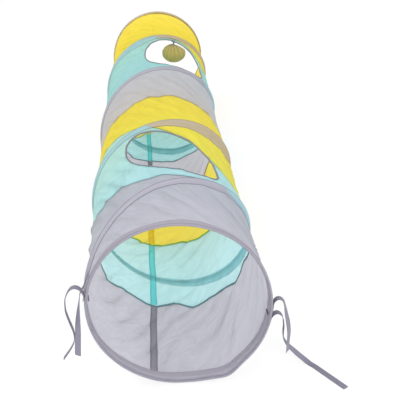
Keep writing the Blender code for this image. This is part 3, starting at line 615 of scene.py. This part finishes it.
# Size and shift of each seam's jags, and how far they calm down at the top.
SEAM_RAGS = ((0.0100, -0.0070, 0.7), (0.0050, 0.0, 0.7), (0.0085, 0.0, 0.2), (0.0060, 0.0, 0.7), (0.0050, 0.0, 0.7))
# Where a seam is drawn out of line: its number, the middle and half width in degrees, and the reach.
SEAM_DIPS = ((2, 66.0, 32.0, -0.060), (3, 125.0, 19.0, 0.084), (5, 85.0, 42.0, -0.085),
             (5, 213.0, 14.0, -0.055), (5, 320.0, 38.0, 0.017))


def jag(index, number):
    """Height of one corner of a seam's wandering line, from -1 to 1."""
    return math.sin(number % SEAM_JAGS * 2.4 + index * 1.7)


def seam_along(index, angle):
    """Place of a cross seam at an angle, or of the cloth's first or last edge."""
    if index == 0:
        return CLOTH_EDGE
    if index > len(SEAMS):
        return LENGTH - CLOTH_EDGE
    mean, once, twice, lean, tilt = SEAMS[index - 1]
    size, shift, calm = SEAM_RAGS[index - 1]
    top = (0.5 + 0.5 * math.cos(angle)) ** 2
    waves = once * math.cos(angle) + twice * math.cos(2.0 * angle)
    place = LENGTH * (mean - waves + (lean + tilt * top) * math.sin(angle))
    step = angle / FULL_TURN % 1.0 * SEAM_JAGS
    here, ahead = (jag(index, math.floor(step) + i) for i in range(2))
    for number, middle, wide, reach in SEAM_DIPS:
        if number == index:
            place += LENGTH * reach * math.exp(-((math.degrees(angle) % 360.0 - middle) / wide) ** 2)
    return place + (1.0 - calm * top) * (shift + size * (here + (ahead - here) * (step % 1.0)))


print("band edges at", [round(share * LENGTH, 3) for share in BAND_EDGES])

# %% [markdown]
# ## Cloth finish
# The bands are thin woven polyester: a rough cloth mixed with a translucent part, so a band glows where light
# stands behind it. Marks on the mesh tell how far each point is from the wire and from a seam, and where a pull
# line runs, for painted shade under the sleeve, beside the seams and in the pull lines and creases.

# %% Cloth finish
CLOTH_GLOW = 0.80
CLOTH_MARKS = ("off_wire", "off_seam", "pull")
SEWN_GREY = srgb(130, 134, 142)
# Material, colour, darker colour for its mottle and painted shade, colour of the light let through, and strength of
# the painted shade in its pull lines.
CLOTH_TONES = {
    "grey": ("grey_cloth", (204, 204, 213), (187, 186, 196), (253, 252, 255), 0.58),
    # The rear grey is the front grey painted lighter, as painted light, and the rear turquoise is the front turquoise
    # painted darker, as painted shade.
    "grey_rear": ("rear_grey_cloth_painted_lighter", (222, 220, 227), (204, 202, 210), (251, 250, 253), 0.44),
    "turquoise": ("turquoise_cloth", (208, 243, 247), (172, 229, 235), (248, 254, 255), 0.44),
    "turquoise_rear": ("rear_turquoise_cloth_painted_darker", (194, 238, 241), (162, 224, 229), (244, 253, 254), 0.44),
    "yellow": ("yellow_cloth", (255, 241, 84), (254, 230, 68), (255, 253, 208), 0.44),
}


def cloth_finish(name, colour, mottle_and_shade, through, pull_shade_strength):
    """Thin woven cloth with painted shade in creases, pull lines, under the sleeve and by the seams, and a grey seam
    line.
    """
    material, tree, flat, weave = woven(name, CLOTH_THREAD)
    colour, mottle_and_shade, through = (srgb(*tone) for tone in (colour, mottle_and_shade, through))
    fold = use_group(tree, creases, Place=flat, Fineness=16.0)["Height"]
    off_wire, off_seam, pull = (mesh_mark(tree, mark) for mark in CLOTH_MARKS)
    # Painted shade in the pull lines and creases.
    painted_pull_and_crease_shade = calc(tree, "MULTIPLY_ADD", pull, pull_shade_strength, remap(tree, fold, 0.80, 1.0, 0.0, 0.19))
    # The cloth's own mottle, then painted shade under the sleeve and beside the seams, where tape and double cloth
    # hold back light, a grey seam line, and the painted shade of the pull lines and creases.
    tone = layers(tree, colour, (weave["Mottle"], 0.30, mottle_and_shade),
                  (remap(tree, off_wire, 0.0090, 0.0078), 0.55, mottle_and_shade),
                  (remap(tree, off_seam, 0.0090, 0.0075), 0.30, mottle_and_shade),
                  (remap(tree, off_seam, 0.0022, 0.0010), 0.45, SEWN_GREY),
                  (painted_pull_and_crease_shade, 1.0, darker(mottle_and_shade, 0.66)))
    rumpled = raise_bump(tree, fold, 0.0030, 0.8)
    normal = raise_bump(tree, weave["Height"], 0.00012, 0.5, Normal=rumpled)
    set_surface(tree, tone, normal, 0.7, 0.12, CLOTH_GLOW, blend(tree, 0.6, tone, through))
    return material


cloth_finishes = {key: cloth_finish(*row) for key, row in CLOTH_TONES.items()}
print("cloth finishes:", sorted(cloth_finishes))

# %% [markdown]
# ## The six bands
# Each band is one flat grid wrapped round the tube. In the turquoise bands a block of cells is cut away for the
# window, and the grid near it is drawn towards a rounded outline, which gives a clean edge without any boolean.

# %% Window outlines
CLOTH_COLUMNS = 200
CLOTH_THICK = 0.0005
ROW_HEIGHT = 0.0045
FRONT_ROWS, WINDOW_ROWS, REAR_ROWS = 6, 36, 10
WINDOW_POWER = 2.3
# Left and right angle, front and rear place, and how far the outline leans per radian.
WINDOWS = {1: (-3.5 * COLUMN, 4.5 * COLUMN, 0.148 * LENGTH, 0.261 * LENGTH, -0.045 * LENGTH),
           4: (-1.5 * COLUMN, 6.5 * COLUMN, 0.584 * LENGTH, 0.764 * LENGTH, 0.0)}


def window_frame(index):
    """Middle angle, half angle, middle place and half length of a window."""
    left, right, front, rear, _ = WINDOWS[index]
    return 0.5 * (left + right), 0.5 * (right - left), 0.5 * (front + rear), 0.5 * (rear - front)


def window_point(index, u, v, outset=0.0):
    """Angle and place on a window's rounded outline in one direction from its middle, moved outwards."""
    middle, wide, centre, long = window_frame(index)
    size = (abs(u) ** WINDOW_POWER + abs(v) ** WINDOW_POWER) ** (1.0 / WINDOW_POWER)
    angle = middle + (wide + outset / CLOTH_RADIUS) * u / size
    return angle, centre + (long + outset) * v / size + WINDOWS[index][4] * (angle - middle)


# %% Band grid
def band_length(index):
    """Mean length of a band along the tube."""
    return LENGTH * (BAND_EDGES[index + 1] - BAND_EDGES[index])


def band_rows(index):
    """Shares of the band where its rows lie: even, or fitted to the window."""
    if index not in WINDOWS:
        count = round(band_length(index) / ROW_HEIGHT)
        return [j / count for j in range(count + 1)]
    middle, _, centre, long = window_frame(index)
    front, rear = seam_along(index, middle), seam_along(index + 1, middle)
    first, last = (centre - long - front) / (rear - front), (centre + long - front) / (rear - front)
    rows = [first * j / FRONT_ROWS for j in range(FRONT_ROWS)]
    rows += [first + (last - first) * j / WINDOW_ROWS for j in range(WINDOW_ROWS)]
    return rows + [last + (1.0 - last) * j / REAR_ROWS for j in range(REAR_ROWS + 1)]


def column_angle(u):
    """Angle of a column of the cloth's grid."""
    return COLUMN / 10.0 + FULL_TURN * u - math.pi


def near_window(index, angle, share, first, final):
    """Position in the window's block of rows, 1 at its edge."""
    middle, wide, _, _ = window_frame(index)
    swing = (angle - middle + math.pi) % FULL_TURN - math.pi
    return swing / wide, (share - 0.5 * (first + final)) / (0.5 * (final - first))


# %% Sew the bands
def make_band(index, name):
    """One band of cloth, with its window where it has one."""
    rows = band_rows(index)
    last = len(rows) - 1
    first, final = rows[FRONT_ROWS], rows[-1 - REAR_ROWS]
    windowed = index in WINDOWS
    long = band_length(index)

    def plain_place(angle, share):
        along = seam_along(index, angle)
        return along + (seam_along(index + 1, angle) - along) * share

    def spot_at(u, v):
        angle = column_angle(u)
        share = rows[round(v * last)]
        along = plain_place(angle, share)
        if not windowed:
            return angle, along
        middle, wide, _, _ = window_frame(index)
        a, b = near_window(index, angle, share, first, final)
        side = max(0.0, 1.0 - max(0.0, abs(a) - 1.0) / 0.7)
        hold = ease(side) * min(1.0, share / first, (1.0 - share) / (1.0 - final))
        if hold > 0.0 and max(abs(a), abs(b)) > 0.97:
            a, b = max(-1.0, min(1.0, a)), max(-1.0, min(1.0, b))
            edge_angle, edge_along = window_point(index, a, b)
            from_angle = middle + wide * a
            from_share = 0.5 * (first + final) + 0.5 * b * (final - first)
            angle += (edge_angle - from_angle) * hold
            along += (edge_along - plain_place(from_angle, from_share)) * hold
            along = min(along, seam_along(index + 1, angle) - 0.03 * (1.0 - share))
        return angle, along

    def place(u, v):
        angle, along = spot_at(u, v)
        before, after = between_wires(angle, along)
        seam = min(along - seam_along(index, angle), seam_along(index + 1, angle) - along)
        point = on_tube(angle, cloth_radius(angle, along), along)
        pull = wire_arch(angle, along)[0] * pull_line(angle, along)
        return point, (min(along - before, after - along) * 0.95, max(0.0, seam), pull)

    def cut(u, v):
        row = math.floor(v * last)
        a, b = near_window(index, column_angle(u), 0.5 * (rows[row] + rows[row + 1]), first, final)
        return max(abs(a), abs(b)) < 1.0

    piece = flat_goods(name + "_cloth", CLOTH_COLUMNS, last, place,
                       lambda u, v: (u * CLOTH_ROUND, v * long), CLOTH_THICK, cut=cut if windowed else None,
                       marks=CLOTH_MARKS, closed=True)
    dress(piece, name, cloth_finishes.get(name, cloth_finishes[name.split("_")[0]]))
    gather(piece, index)


def gather(piece, index):
    """Rides the band's body, with a mesh of its own."""
    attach(piece, BODIES[index])
    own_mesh(piece)


BANDS = ("grey_front", "turquoise_front", "yellow_front", "grey_rear", "turquoise_rear", "yellow_rear")
BODIES = ("front_rim", *(band + "_band" for band in BANDS[1:]))
for index, band in enumerate(BANDS):
    make_band(index, band)

# %% [markdown]
# ## The wire and its sleeve
# The wire runs in a sleeve of grey tape sewn to the outside of the cloth, unevenly: wider at the right and widest
# at a few places. It stands up over the wire and lies flat at its edges, which makes the ridges round the tunnel.
# The colour of the band below shows through. The wire itself is a bright steel rod, hidden but there.

# %% Sleeve path
SLEEVE_BEHIND = 0.0060
SLEEVE_FRONT = 0.0070
SLEEVE_RIGHT = 0.0160
SLEEVE_SPREADS = ((1.17, 0.13, 0.032), (2.50, 0.15, 0.018), (2.92, 0.07, 0.024))
SLEEVE_MARKS = ("on_turquoise", "on_yellow", "off_front", "off_wire")


def sleeve_before(angle):
    """How far the tape reaches in front of the wire."""
    turns = angle / FULL_TURN
    spread = sum(wide * math.exp(-((turns - turn) / near) ** 2) for turn, near, wide in SLEEVE_SPREADS)
    return SLEEVE_FRONT + SLEEVE_RIGHT * (0.5 + 0.5 * math.cos(angle - math.radians(100.0))) ** 2 + spread


def beside_wire(turn, across):
    """Angle and place on the cloth at a distance square to the wire."""
    slope = (wire_along(turn + 0.004) - wire_along(turn - 0.004)) / (0.008 * CLOTH_ROUND)
    run = math.hypot(1.0, slope)
    return FULL_TURN * turn - across * slope / run / CLOTH_RADIUS, wire_along(turn) + across / run


def sleeve_ends():
    """First and last turn that lie clear of the hems."""
    turns = [START_TURN + (END_TURN - START_TURN) * i / 2000.0 for i in range(2001)]
    inside = [t for t in turns if HEM_WIDTH + sleeve_before(FULL_TURN * t) < wire_along(t)]
    inside = [t for t in inside if wire_along(t) < LENGTH - HEM_WIDTH - SLEEVE_BEHIND]
    return inside[0], inside[-1]


def band_below(angle, along):
    """Number of the band at a place."""
    return sum(1 for i in range(1, 6) if along > seam_along(i, angle))


FIRST_TURN, LAST_TURN = sleeve_ends()
print("sleeve from turn", round(FIRST_TURN, 2), "to", round(LAST_TURN, 2))


# %% Sleeve finish
def sleeve_finish():
    """Grey tape that takes on the colour below it, with painted shade along its front edge and a painted wire shadow.
    """
    material, tree, _, weave = woven("wire_sleeve_tape", TAPE_THREAD)
    turquoise, yellow, off_front, off_wire = (mesh_mark(tree, mark) for mark in SLEEVE_MARKS)
    # Painted shade: a dark line along the tape's front edge, and a painted shadow of the wire along its middle.
    line = srgb(112, 112, 128)
    tone = layers(tree, srgb(224, 222, 230), (weave["Mottle"], 0.3, srgb(200, 198, 208)),
                  (turquoise, 0.7, srgb(204, 238, 242)), (yellow, 0.6, srgb(228, 216, 192)),
                  (remap(tree, off_front, 0.0013, 0.0007), 0.60, line),
                  (remap(tree, off_wire, 0.0016, 0.0006), 0.35, line))
    set_surface(tree, tone, raise_bump(tree, weave["Height"], 0.0002, 0.6), 0.75, glow=0.7)
    return material


# %% Sew the sleeve over the wire
def sleeve_across(u, v):
    """Turn of the wire, and distance across the tape from the wire."""
    turn = FIRST_TURN + (LAST_TURN - FIRST_TURN) * u
    before = sleeve_before(FULL_TURN * turn)
    return turn, v * (before + SLEEVE_BEHIND) - before


def sleeve_place(u, v):
    """Point of the sleeve, humped over the wire, and its marks."""
    turn, across = sleeve_across(u, v)
    angle, along = beside_wire(turn, across)
    hump = 1.0 - ease(unit((abs(across) - 0.0008) / 0.0046))
    band = BANDS[band_below(angle, along)].split("_")[0]
    point = on_tube(angle, cloth_radius(angle, along) + 0.0006 + 0.0030 * hump, along)
    off_front = across + sleeve_before(FULL_TURN * turn)
    return point, (float(band == "turquoise"), float(band == "yellow"), off_front, abs(across))


sleeve_run = (LAST_TURN - FIRST_TURN) * CLOTH_ROUND
wire_sleeve = flat_goods("wire_sleeve", 880, 26, sleeve_place,
                         lambda u, v: (u * sleeve_run, sleeve_across(u, v)[1]), 0.0004, marks=SLEEVE_MARKS)
dress(wire_sleeve, "wire_casing", sleeve_finish())
gather(wire_sleeve, 0)

# %% Wind the wire
WIRE_HALF = 0.0011
WIRE_RUN = (WIRE_TURNS[-1] - WIRE_TURNS[0]) * CLOTH_ROUND


def steel_finish():
    """Bright drawn steel."""
    material, tree = new_material("drawn_spring_steel")
    drawn = remap(tree, speckle(tree, flat_place(tree), Scale=900.0), 0.0, 1.0, 0.25, 0.42)
    steel = {"Base Color": srgb(168, 170, 174), "Metallic": 1.0, "Roughness": drawn}
    feed(tree, tree.nodes["Principled BSDF"], steel)
    return material


def wire_place(u, v):
    """Point on the wire's round skin."""
    turn = WIRE_TURNS[0] + (WIRE_TURNS[-1] - WIRE_TURNS[0]) * u
    swing = FULL_TURN * v
    radius = CLOTH_RADIUS + 0.0017 + WIRE_HALF * math.cos(swing)
    return on_tube(FULL_TURN * turn, radius, wire_along(turn) + WIRE_HALF * math.sin(swing))


wound_wire = flat_goods("wound_wire", 900, 8, wire_place, lambda u, v: (u * WIRE_RUN, v * 0.0075), 0.0, closed=True)
work = bmesh.new()
work.from_mesh(wound_wire.data)
bmesh.ops.holes_fill(work, edges=[edge for edge in work.edges if edge.is_boundary], sides=0)
bmesh.ops.recalc_face_normals(work, faces=work.faces)
work.to_mesh(wound_wire.data)
work.free()
dress(wound_wire, "spring_wire", steel_finish())
gather(wound_wire, 0)
print(round(WIRE_RUN, 2), "m of wire")

# %% [markdown]
# ## Hems
# A grey tape is folded over each rim and sewn down, with the wire's closed turn inside the fold. Its section is a
# narrow U, so it is one flat grid rolled over: outside leg, fold, inside leg. At the bottom the tape was folded a
# little wider, which the photograph shows as the broadest part of the pale rim.

# %% Fold the hems
HEM_FOLD = 0.0030
HEM_START = 0.0006
FOLD_DEPTH = 0.0022
HEM_EXTRA = 0.0022


def hem_finish(name, outside, inside, folded):
    """Hem tape, painted one tone outside and another inside for how light falls, and darker at the fold as painted
    shade.
    """
    material, tree, flat, weave = woven(name, TAPE_THREAD)
    stitch, normal = sewn_row(tree, flat, 0.0172, weave)
    across = split(tree, flat)["Y"]
    off_fold = calc(tree, "ABSOLUTE", calc(tree, "SUBTRACT", across, 0.0010))
    # Painted light: the two legs get lit and shaded tones of one tape, and the fold a painted shade; the mottle and
    # stitches take the fold's tone too.
    tone = layers(tree, inside, (remap(tree, across, -0.001, 0.001), 1.0, outside),
                  (remap(tree, off_fold, 0.0042, 0.0028), 0.85, folded),
                  (weave["Mottle"], 0.4, folded), (stitch, 0.7, folded))
    set_surface(tree, tone, normal, 0.78, glow=0.55)
    return material


def make_hem(node, body, material, rear):
    """Tape folded over one rim."""
    def place(u, v):
        angle = FULL_TURN * u
        low = 0.5 - 0.5 * math.cos(angle)
        wide = HEM_WIDTH - 0.0012 + HEM_EXTRA * low + 0.0007 * math.sin(7.0 * angle)
        wide = min(wide, HEM_WIDTH + 0.0008)
        around = (2.0 * v - 1.0) * (wide + HEM_FOLD)
        outer, inner = RIM_RADIUS - 0.0006, CLOTH_RADIUS + 0.0004
        leg = max(0.0, abs(around) - HEM_FOLD)
        away = min(1.0, leg / (wide - FOLD_DEPTH))
        along = HEM_START + FOLD_DEPTH + leg
        if abs(around) <= HEM_FOLD:
            swing = 0.5 * math.pi * around / HEM_FOLD
            along = HEM_START + FOLD_DEPTH * (1.0 - math.cos(swing))
            radius = 0.5 * (outer + inner) + 0.5 * (outer - inner) * math.sin(swing)
        elif around > 0.0:
            radius = outer + (CLOTH_RADIUS + 0.0011 - outer) * ease(max(0.0, away - 0.25) / 0.75)
        else:
            radius = inner - 0.0016 * min(1.0, away * 2.5)
        along = min(along, wide)
        radius += 0.0004 * math.sin(9.0 * angle + 1.0) * abs(2.0 * v - 1.0)
        return on_tube(angle, min(radius, outer), LENGTH - along if rear else along)

    size = FULL_TURN * RIM_RADIUS, 0.0400
    dress(flat_goods(node + "_tape", 240, 36, place, size, 0.0006, closed=True), node, material, body)


# The near hem's grey tape is painted a little darker outside than inside, and darker still at its fold, as painted
# shade.
near_hem = hem_finish("hem_tape", srgb(210, 207, 217), srgb(218, 214, 225), srgb(178, 174, 187))
# The far hem's grey tape is painted tan all over, for the yellow light from the band under it, and darker at its fold
# as painted shade.
far_hem = hem_finish("far_hem_tape", srgb(232, 218, 176), srgb(232, 218, 176), srgb(170, 156, 128))
make_hem("front_hem", "front_rim", near_hem, False)
make_hem("rear_hem", "rear_rim", far_hem, True)

# %% [markdown]
# ## Cross seams and lap strips
# Inside the tunnel every cross seam is a narrow strip of overlocked edges, and one broad strip runs the whole
# length near the bottom, where the cloth was lapped. Both cloths lie double there, so the colours are deeper.

# %% Overlock the cross seams
SEAM_HALF = 0.0021
SEAM_THICK = 0.0005
TEAL_SEAM, GREEN_SEAM, SAND_SEAM = srgb(150, 190, 196), srgb(196, 240, 120), srgb(196, 186, 140)
SEAM_TONES = (TEAL_SEAM, GREEN_SEAM, SAND_SEAM, TEAL_SEAM, GREEN_SEAM)


def make_cross_seam(index, tone):
    """Strip of overlocked edges inside one cross seam."""
    def place(u, v):
        angle = FULL_TURN * u
        side = 2.0 * v - 1.0
        along = seam_along(index, angle) + side * SEAM_HALF
        lift = 0.0009 + 0.0004 * (1.0 - side ** 2)
        return on_tube(angle, cloth_radius(angle, along) - lift, along)

    size = CLOTH_ROUND, 2.0 * SEAM_HALF
    piece = flat_goods("cross_seam_" + str(index), 300, 6, place, size, SEAM_THICK, closed=True)
    finish = tape_finish("overlock_" + str(index), tone, darker(tone, 0.6), SEAM_HALF, 0.0012, 0.65)
    dress(piece, "seam_" + str(index), finish)
    gather(piece, index)


for index, tone in enumerate(SEAM_TONES, 1):
    make_cross_seam(index, tone)

# %% Lay the lap strips
LAP_ANGLE = math.radians(198.0)
LAP_HALF = 0.0052
LAP_ROW = 0.0036
LAP_ASIDE = CLOTH_RADIUS * math.sin(LAP_ANGLE) + 0.0030
lap_finishes = {
    "grey": tape_finish("lap_grey", srgb(188, 186, 196), srgb(154, 152, 162), LAP_HALF, LAP_ROW, 0.6),
    "turquoise": tape_finish("lap_teal", srgb(186, 252, 253), srgb(140, 232, 235), LAP_HALF, LAP_ROW, 0.8),
    "yellow": tape_finish("lap_gold", srgb(255, 238, 62), srgb(252, 216, 40), LAP_HALF, LAP_ROW, 0.5),
}


def make_lap(index, name):
    """Lap strip of one band, between its two seams or a seam and a hem."""
    front = seam_along(index, LAP_ANGLE) + SEAM_HALF + 0.0004 if index else HEM_WIDTH + 0.0006
    rear = seam_along(index + 1, LAP_ANGLE) - SEAM_HALF - 0.0004
    if index == len(SEAMS):
        rear = LENGTH - HEM_WIDTH - 0.0006

    def place(u, v):
        along = front + (rear - front) * u
        drift = 0.0008 * math.sin(along * 21.0) + 0.0004 * math.sin(along * 63.0)
        aside = LAP_ASIDE - sideways(math.pi, along) + (1.0 - 2.0 * v) * LAP_HALF - drift
        angle = math.pi - math.asin(aside / CLOTH_RADIUS)
        return on_tube(angle, cloth_radius(angle, along) - 0.0010, along)

    size = rear - front, 2.0 * LAP_HALF
    piece = flat_goods("lap_strip_" + name, round((rear - front) / 0.004), 6, place, size, SEAM_THICK)
    dress(piece, "lap_" + name, lap_finishes[name.split("_")[0]])
    gather(piece, index)


for index, band in enumerate(BANDS):
    make_lap(index, band)

# %% [markdown]
# ## Window bindings
# The raw edge of each window is wrapped in a narrow tape. It is folded like a hem, so again one grid is rolled
# round the edge: a strip inside, the fold, and a strip outside.

# %% Bind the windows
TAPE_THICK = 0.0004
binding_finish = tape_finish("window_binding", srgb(150, 152, 164), srgb(110, 110, 122), 0.0062, 0.0028, 0.4)


def make_binding(node, index):
    """Tape folded round the edge of one window."""
    _, wide, _, long = window_frame(index)
    run = 4.2 * math.hypot(wide * CLOTH_RADIUS, long)

    def place(u, v):
        around = 2.0 * v - 1.0
        turn = FULL_TURN * u
        reach = 0.0023 * max(0.0, abs(around) - 0.2) / 0.8 - 0.0004
        angle, along = window_point(index, math.cos(turn), math.sin(turn), reach)
        side = math.copysign(min(1.0, abs(around) / 0.2), around)
        return on_tube(angle, cloth_radius(angle, along) + 0.0008 * side, along)

    piece = flat_goods(node + "_tape", 180, 16, place, (run, 0.0120), TAPE_THICK, closed=True)
    dress(piece, node, binding_finish)
    gather(piece, index)


make_binding("front_window_binding", 1)
make_binding("rear_window_binding", 4)

# %% [markdown]
# ## Bar tacks
# Each tie is held by a bar tack, a short block of close zigzag stitches that shows as a dark dash inside the hem.
# A small rippled pad is enough at this size: one ripple for each stitch.

# %% Stitch the bar tacks
TACK_LONG = 0.0110
TACK_WIDE = 0.0030
TACK_STITCHES = 11.0
thread_finish = tape_finish("tack_thread", srgb(74, 72, 82), srgb(40, 40, 46), 0.0016, 0.0030, 0.0)


def make_tack(name, node, degrees):
    """Block of stitches inside the near hem."""
    def place(u, v):
        along = HEM_WIDTH / 2.0 + (u - 0.5) * TACK_LONG
        angle = math.radians(degrees) + (v - 0.5) * TACK_WIDE / CLOTH_RADIUS
        crown = 1.0 - (2.0 * v - 1.0) ** 4
        lift = 0.0021 + crown * (0.0005 + 0.0003 * math.cos(FULL_TURN * TACK_STITCHES * u))
        return on_tube(angle, CLOTH_RADIUS - lift, along)

    piece = flat_goods(name, 66, 8, place, (TACK_LONG, TACK_WIDE), TAPE_THICK)
    dress(piece, node, thread_finish, "front_rim")


make_tack("left_bar_tack", "left_tack", -81.0)
make_tack("right_bar_tack", "right_tack", 99.0)

# %% [markdown]
# ## The hanging ball
# A stuffed cloth ball hangs at the far edge of the rear window. It starts as a sphere pressed a little flat. A
# wave pulls in the pleats that run down from its tied neck, and the soft cover gives way where it would lie against
# the cloth behind the window.

# %% Ball finish
def ball_finish():
    """Napped cover: yellow cloth painted olive, as in shade, with painted shade in its pleats and at its neck."""
    material, tree = new_material("ball_cover")
    nap = speckle(tree, add(tree, "TexCoord")["Object"], Scale=700.0, Detail=4.0)
    pleat_shade = mesh_mark(tree, "pleat_shade")
    # Painted shade: the olive base stands for yellow cloth in shade, and the pleat mark darkens grooves and gathered
    # top.
    tone = layers(tree, srgb(165, 153, 77), (nap, 0.5, srgb(117, 105, 50)), (pleat_shade, 1.0, srgb(84, 76, 44)))
    set_surface(tree, tone, raise_bump(tree, nap, 0.0006, 0.5), 0.85, 0.3)
    return material


# %% Stuff the ball
BALL_ROOM = 0.0040
BALL_FILL = 0.97
PLEATS = 17.0
WINDOW_END = WINDOWS[4][3]
bead_low, bead_high = solid_box("ball_bead")
bead_middle = 0.5 * (bead_low + bead_high)
ball_low, ball_high = solid_box("ball")
ball_radius = 0.5 * (ball_high.x - ball_low.x)


def give_way(vert):
    """Presses the soft cover in where it would lie against the cloth behind the window."""
    along = vert.co.y + LENGTH / 2.0
    behind = vert.co.y - bead_middle.y
    bow = sideways(0.0, along)
    aside, height = vert.co.x - bow, vert.co.z - AXIS_Z
    room = BALL_ROOM + (0.25 if behind > 0.0 else 0.30) * behind
    limit = cloth_radius(math.atan2(aside, height), max(along, WINDOW_END)) - room
    share = min(1.0, limit / math.hypot(aside, height))
    vert.co.x, vert.co.z = aside * share + bow, height * share + AXIS_Z


work = bmesh.new()
bmesh.ops.create_uvsphere(work, u_segments=112, v_segments=56, radius=ball_radius)
shade = work.verts.layers.float.new("pleat_shade")
for vert in work.verts:
    height = vert.co.z / ball_radius
    turn = math.atan2(vert.co.y, vert.co.x)
    wave = 0.5 + 0.5 * math.cos(PLEATS * turn + 1.2 * math.sin(3.0 * turn))
    groove = wave ** 3 * (max(0.0, height + 0.25) / 1.25) ** 1.2
    lump = noise.noise(vert.co * 90.0)
    vert.co *= BALL_FILL - 0.085 * groove * (1.0 - 0.6 * height ** 8) + 0.02 * lump
    vert.co.z *= 0.5 * (ball_high.z - ball_low.z) / ball_radius
    if height > 0.86:
        vert.co.z -= 0.0010 * (height - 0.86) / 0.14
    # Painted shade mark: darker in the grooves and towards the tied neck.
    vert[shade] = min(1.0, groove * 0.9 + 0.5 * max(0.0, height - 0.8) / 0.2)
bmesh.ops.translate(work, verts=work.verts, vec=0.5 * (ball_low + ball_high))
for vert in work.verts:
    give_way(vert)
stuffed_ball = new_piece("stuffed_ball", work)
dress(stuffed_ball, "ball", ball_finish(), "hanging_ball")
print("ball", round(2000.0 * ball_radius), "mm wide")

# %% Gathered neck, thread bead and tab
neck_low, neck_high = solid_box("ball_neck")
neck_middle = 0.5 * (neck_low + neck_high)


def neck_place(u, v):
    """Point of the pleated neck, widest where it is tied and at its foot."""
    turn = FULL_TURN * u
    z = neck_low.z - 0.0008 + (neck_high.z - neck_low.z + 0.0004) * v
    radius = 0.0009 + 0.0006 * math.exp(-((v - 0.30) / 0.22) ** 2) + 0.0010 * max(0.0, 0.2 - v) / 0.2
    radius *= 1.0 + 0.10 * math.cos(12.0 * turn)
    return Vector((neck_middle.x + radius * math.sin(turn), neck_middle.y + radius * math.cos(turn), z))


gathered_neck = flat_goods("gathered_neck", 48, 12, neck_place, (0.02, 0.006), TAPE_THICK, closed=True, offset=-1.0)
dress(gathered_neck, "ball_neck", thread_finish, "hanging_ball")

work = bmesh.new()
bmesh.ops.create_uvsphere(work, u_segments=32, v_segments=20, radius=0.5 * (bead_high.x - bead_low.x))
for vert in work.verts:
    turn = math.atan2(vert.co.z, vert.co.y)
    vert.co *= 1.0 - 0.06 * (0.5 + 0.5 * math.cos(3.0 * turn + vert.co.x * 5200.0))
bmesh.ops.translate(work, verts=work.verts, vec=bead_middle)
dress(new_piece("thread_bead", work), "ball_bead", thread_finish, "bead")

TAB_WIDE = 0.0092
tab_low, tab_high = solid_box("ball_tab")
bead_aside = bead_middle.x - sideways(0.0, bead_middle.y + LENGTH / 2.0)
TAB_ANGLE = math.atan2(bead_aside, bead_middle.z - AXIS_Z)


def tab_place(u, v):
    """Point of the tab, a hair inside the cloth."""
    along = tab_low.y + LENGTH / 2.0 + (tab_high.y - tab_low.y) * u
    angle = TAB_ANGLE + (v - 0.5) * TAB_WIDE / CLOTH_RADIUS
    return on_tube(angle, cloth_radius(angle, max(along, WINDOW_END)) - 0.0013, along)


hanger_tab = flat_goods("hanger_tab", 24, 8, tab_place, (0.02, TAB_WIDE), CLOTH_THICK)
dress(hanger_tab, "ball_tab", binding_finish, "ball_hanger")
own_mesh(hanger_tab)

# %% [markdown]
# ## Floor and light
# The tunnel was photographed on plain white. The floor is a pale sheet that takes its shadow, and what the camera
# sees of it is partly plain white, so it stays white without more light on the cloth. The light is an even white
# surround, a soft lamp above and to the left, and a stronger one in front.

# %% Floor
work = bmesh.new()
bmesh.ops.create_grid(work, x_segments=1, y_segments=1, size=15.0)
studio_floor = new_piece("studio_floor", work)
paper, tree = new_material("white_paper")
shader = tree.nodes["Principled BSDF"]
feed(tree, shader, {"Base Color": (0.92, 0.92, 0.92, 1.0), "Roughness": 0.9})
seen = add(tree, "LightPath")
looks = calc(tree, "MAXIMUM", seen["Is Glossy Ray"], seen["Is Transmission Ray"])
looks = calc(tree, "MAXIMUM", seen["Is Camera Ray"], looks)
mix_surface(tree, calc(tree, "MULTIPLY", looks, 0.72), shader.outputs[0], add(tree, "Emission")[0])
studio_floor.data.materials.append(paper)
print("floor:", studio_floor.name)

# %% Light
surround = bpy.data.worlds.new("studio_surround")
scene.world = surround
surround.use_nodes = True
sky = surround.node_tree.nodes["Background"]
feed(surround.node_tree, sky, {"Color": (1.0, 1.0, 1.0, 1.0), "Strength": 0.99})


def soft_lamp(name, place, aim, size, power):
    """Round area lamp turned towards a point."""
    lamp = bpy.data.lights.new(name, "AREA")
    lamp.shape = "DISK"
    lamp.size = size
    lamp.energy = power
    holder = bpy.data.objects.new(name, lamp)
    holder.location = place
    holder.rotation_euler = (Vector(aim) - Vector(place)).to_track_quat("-Z", "Y").to_euler()
    scene.collection.objects.link(holder)


soft_lamp("soft_top", (-1.4, 0.2, 2.4), (0.0, 0.1, 0.1), 1.6, 24.0)
soft_lamp("soft_front", (0.5, -2.8, 1.3), (0.0, -0.3, 0.1), 1.4, 48.0)
print("surround", round(sky.inputs["Strength"].default_value, 2))
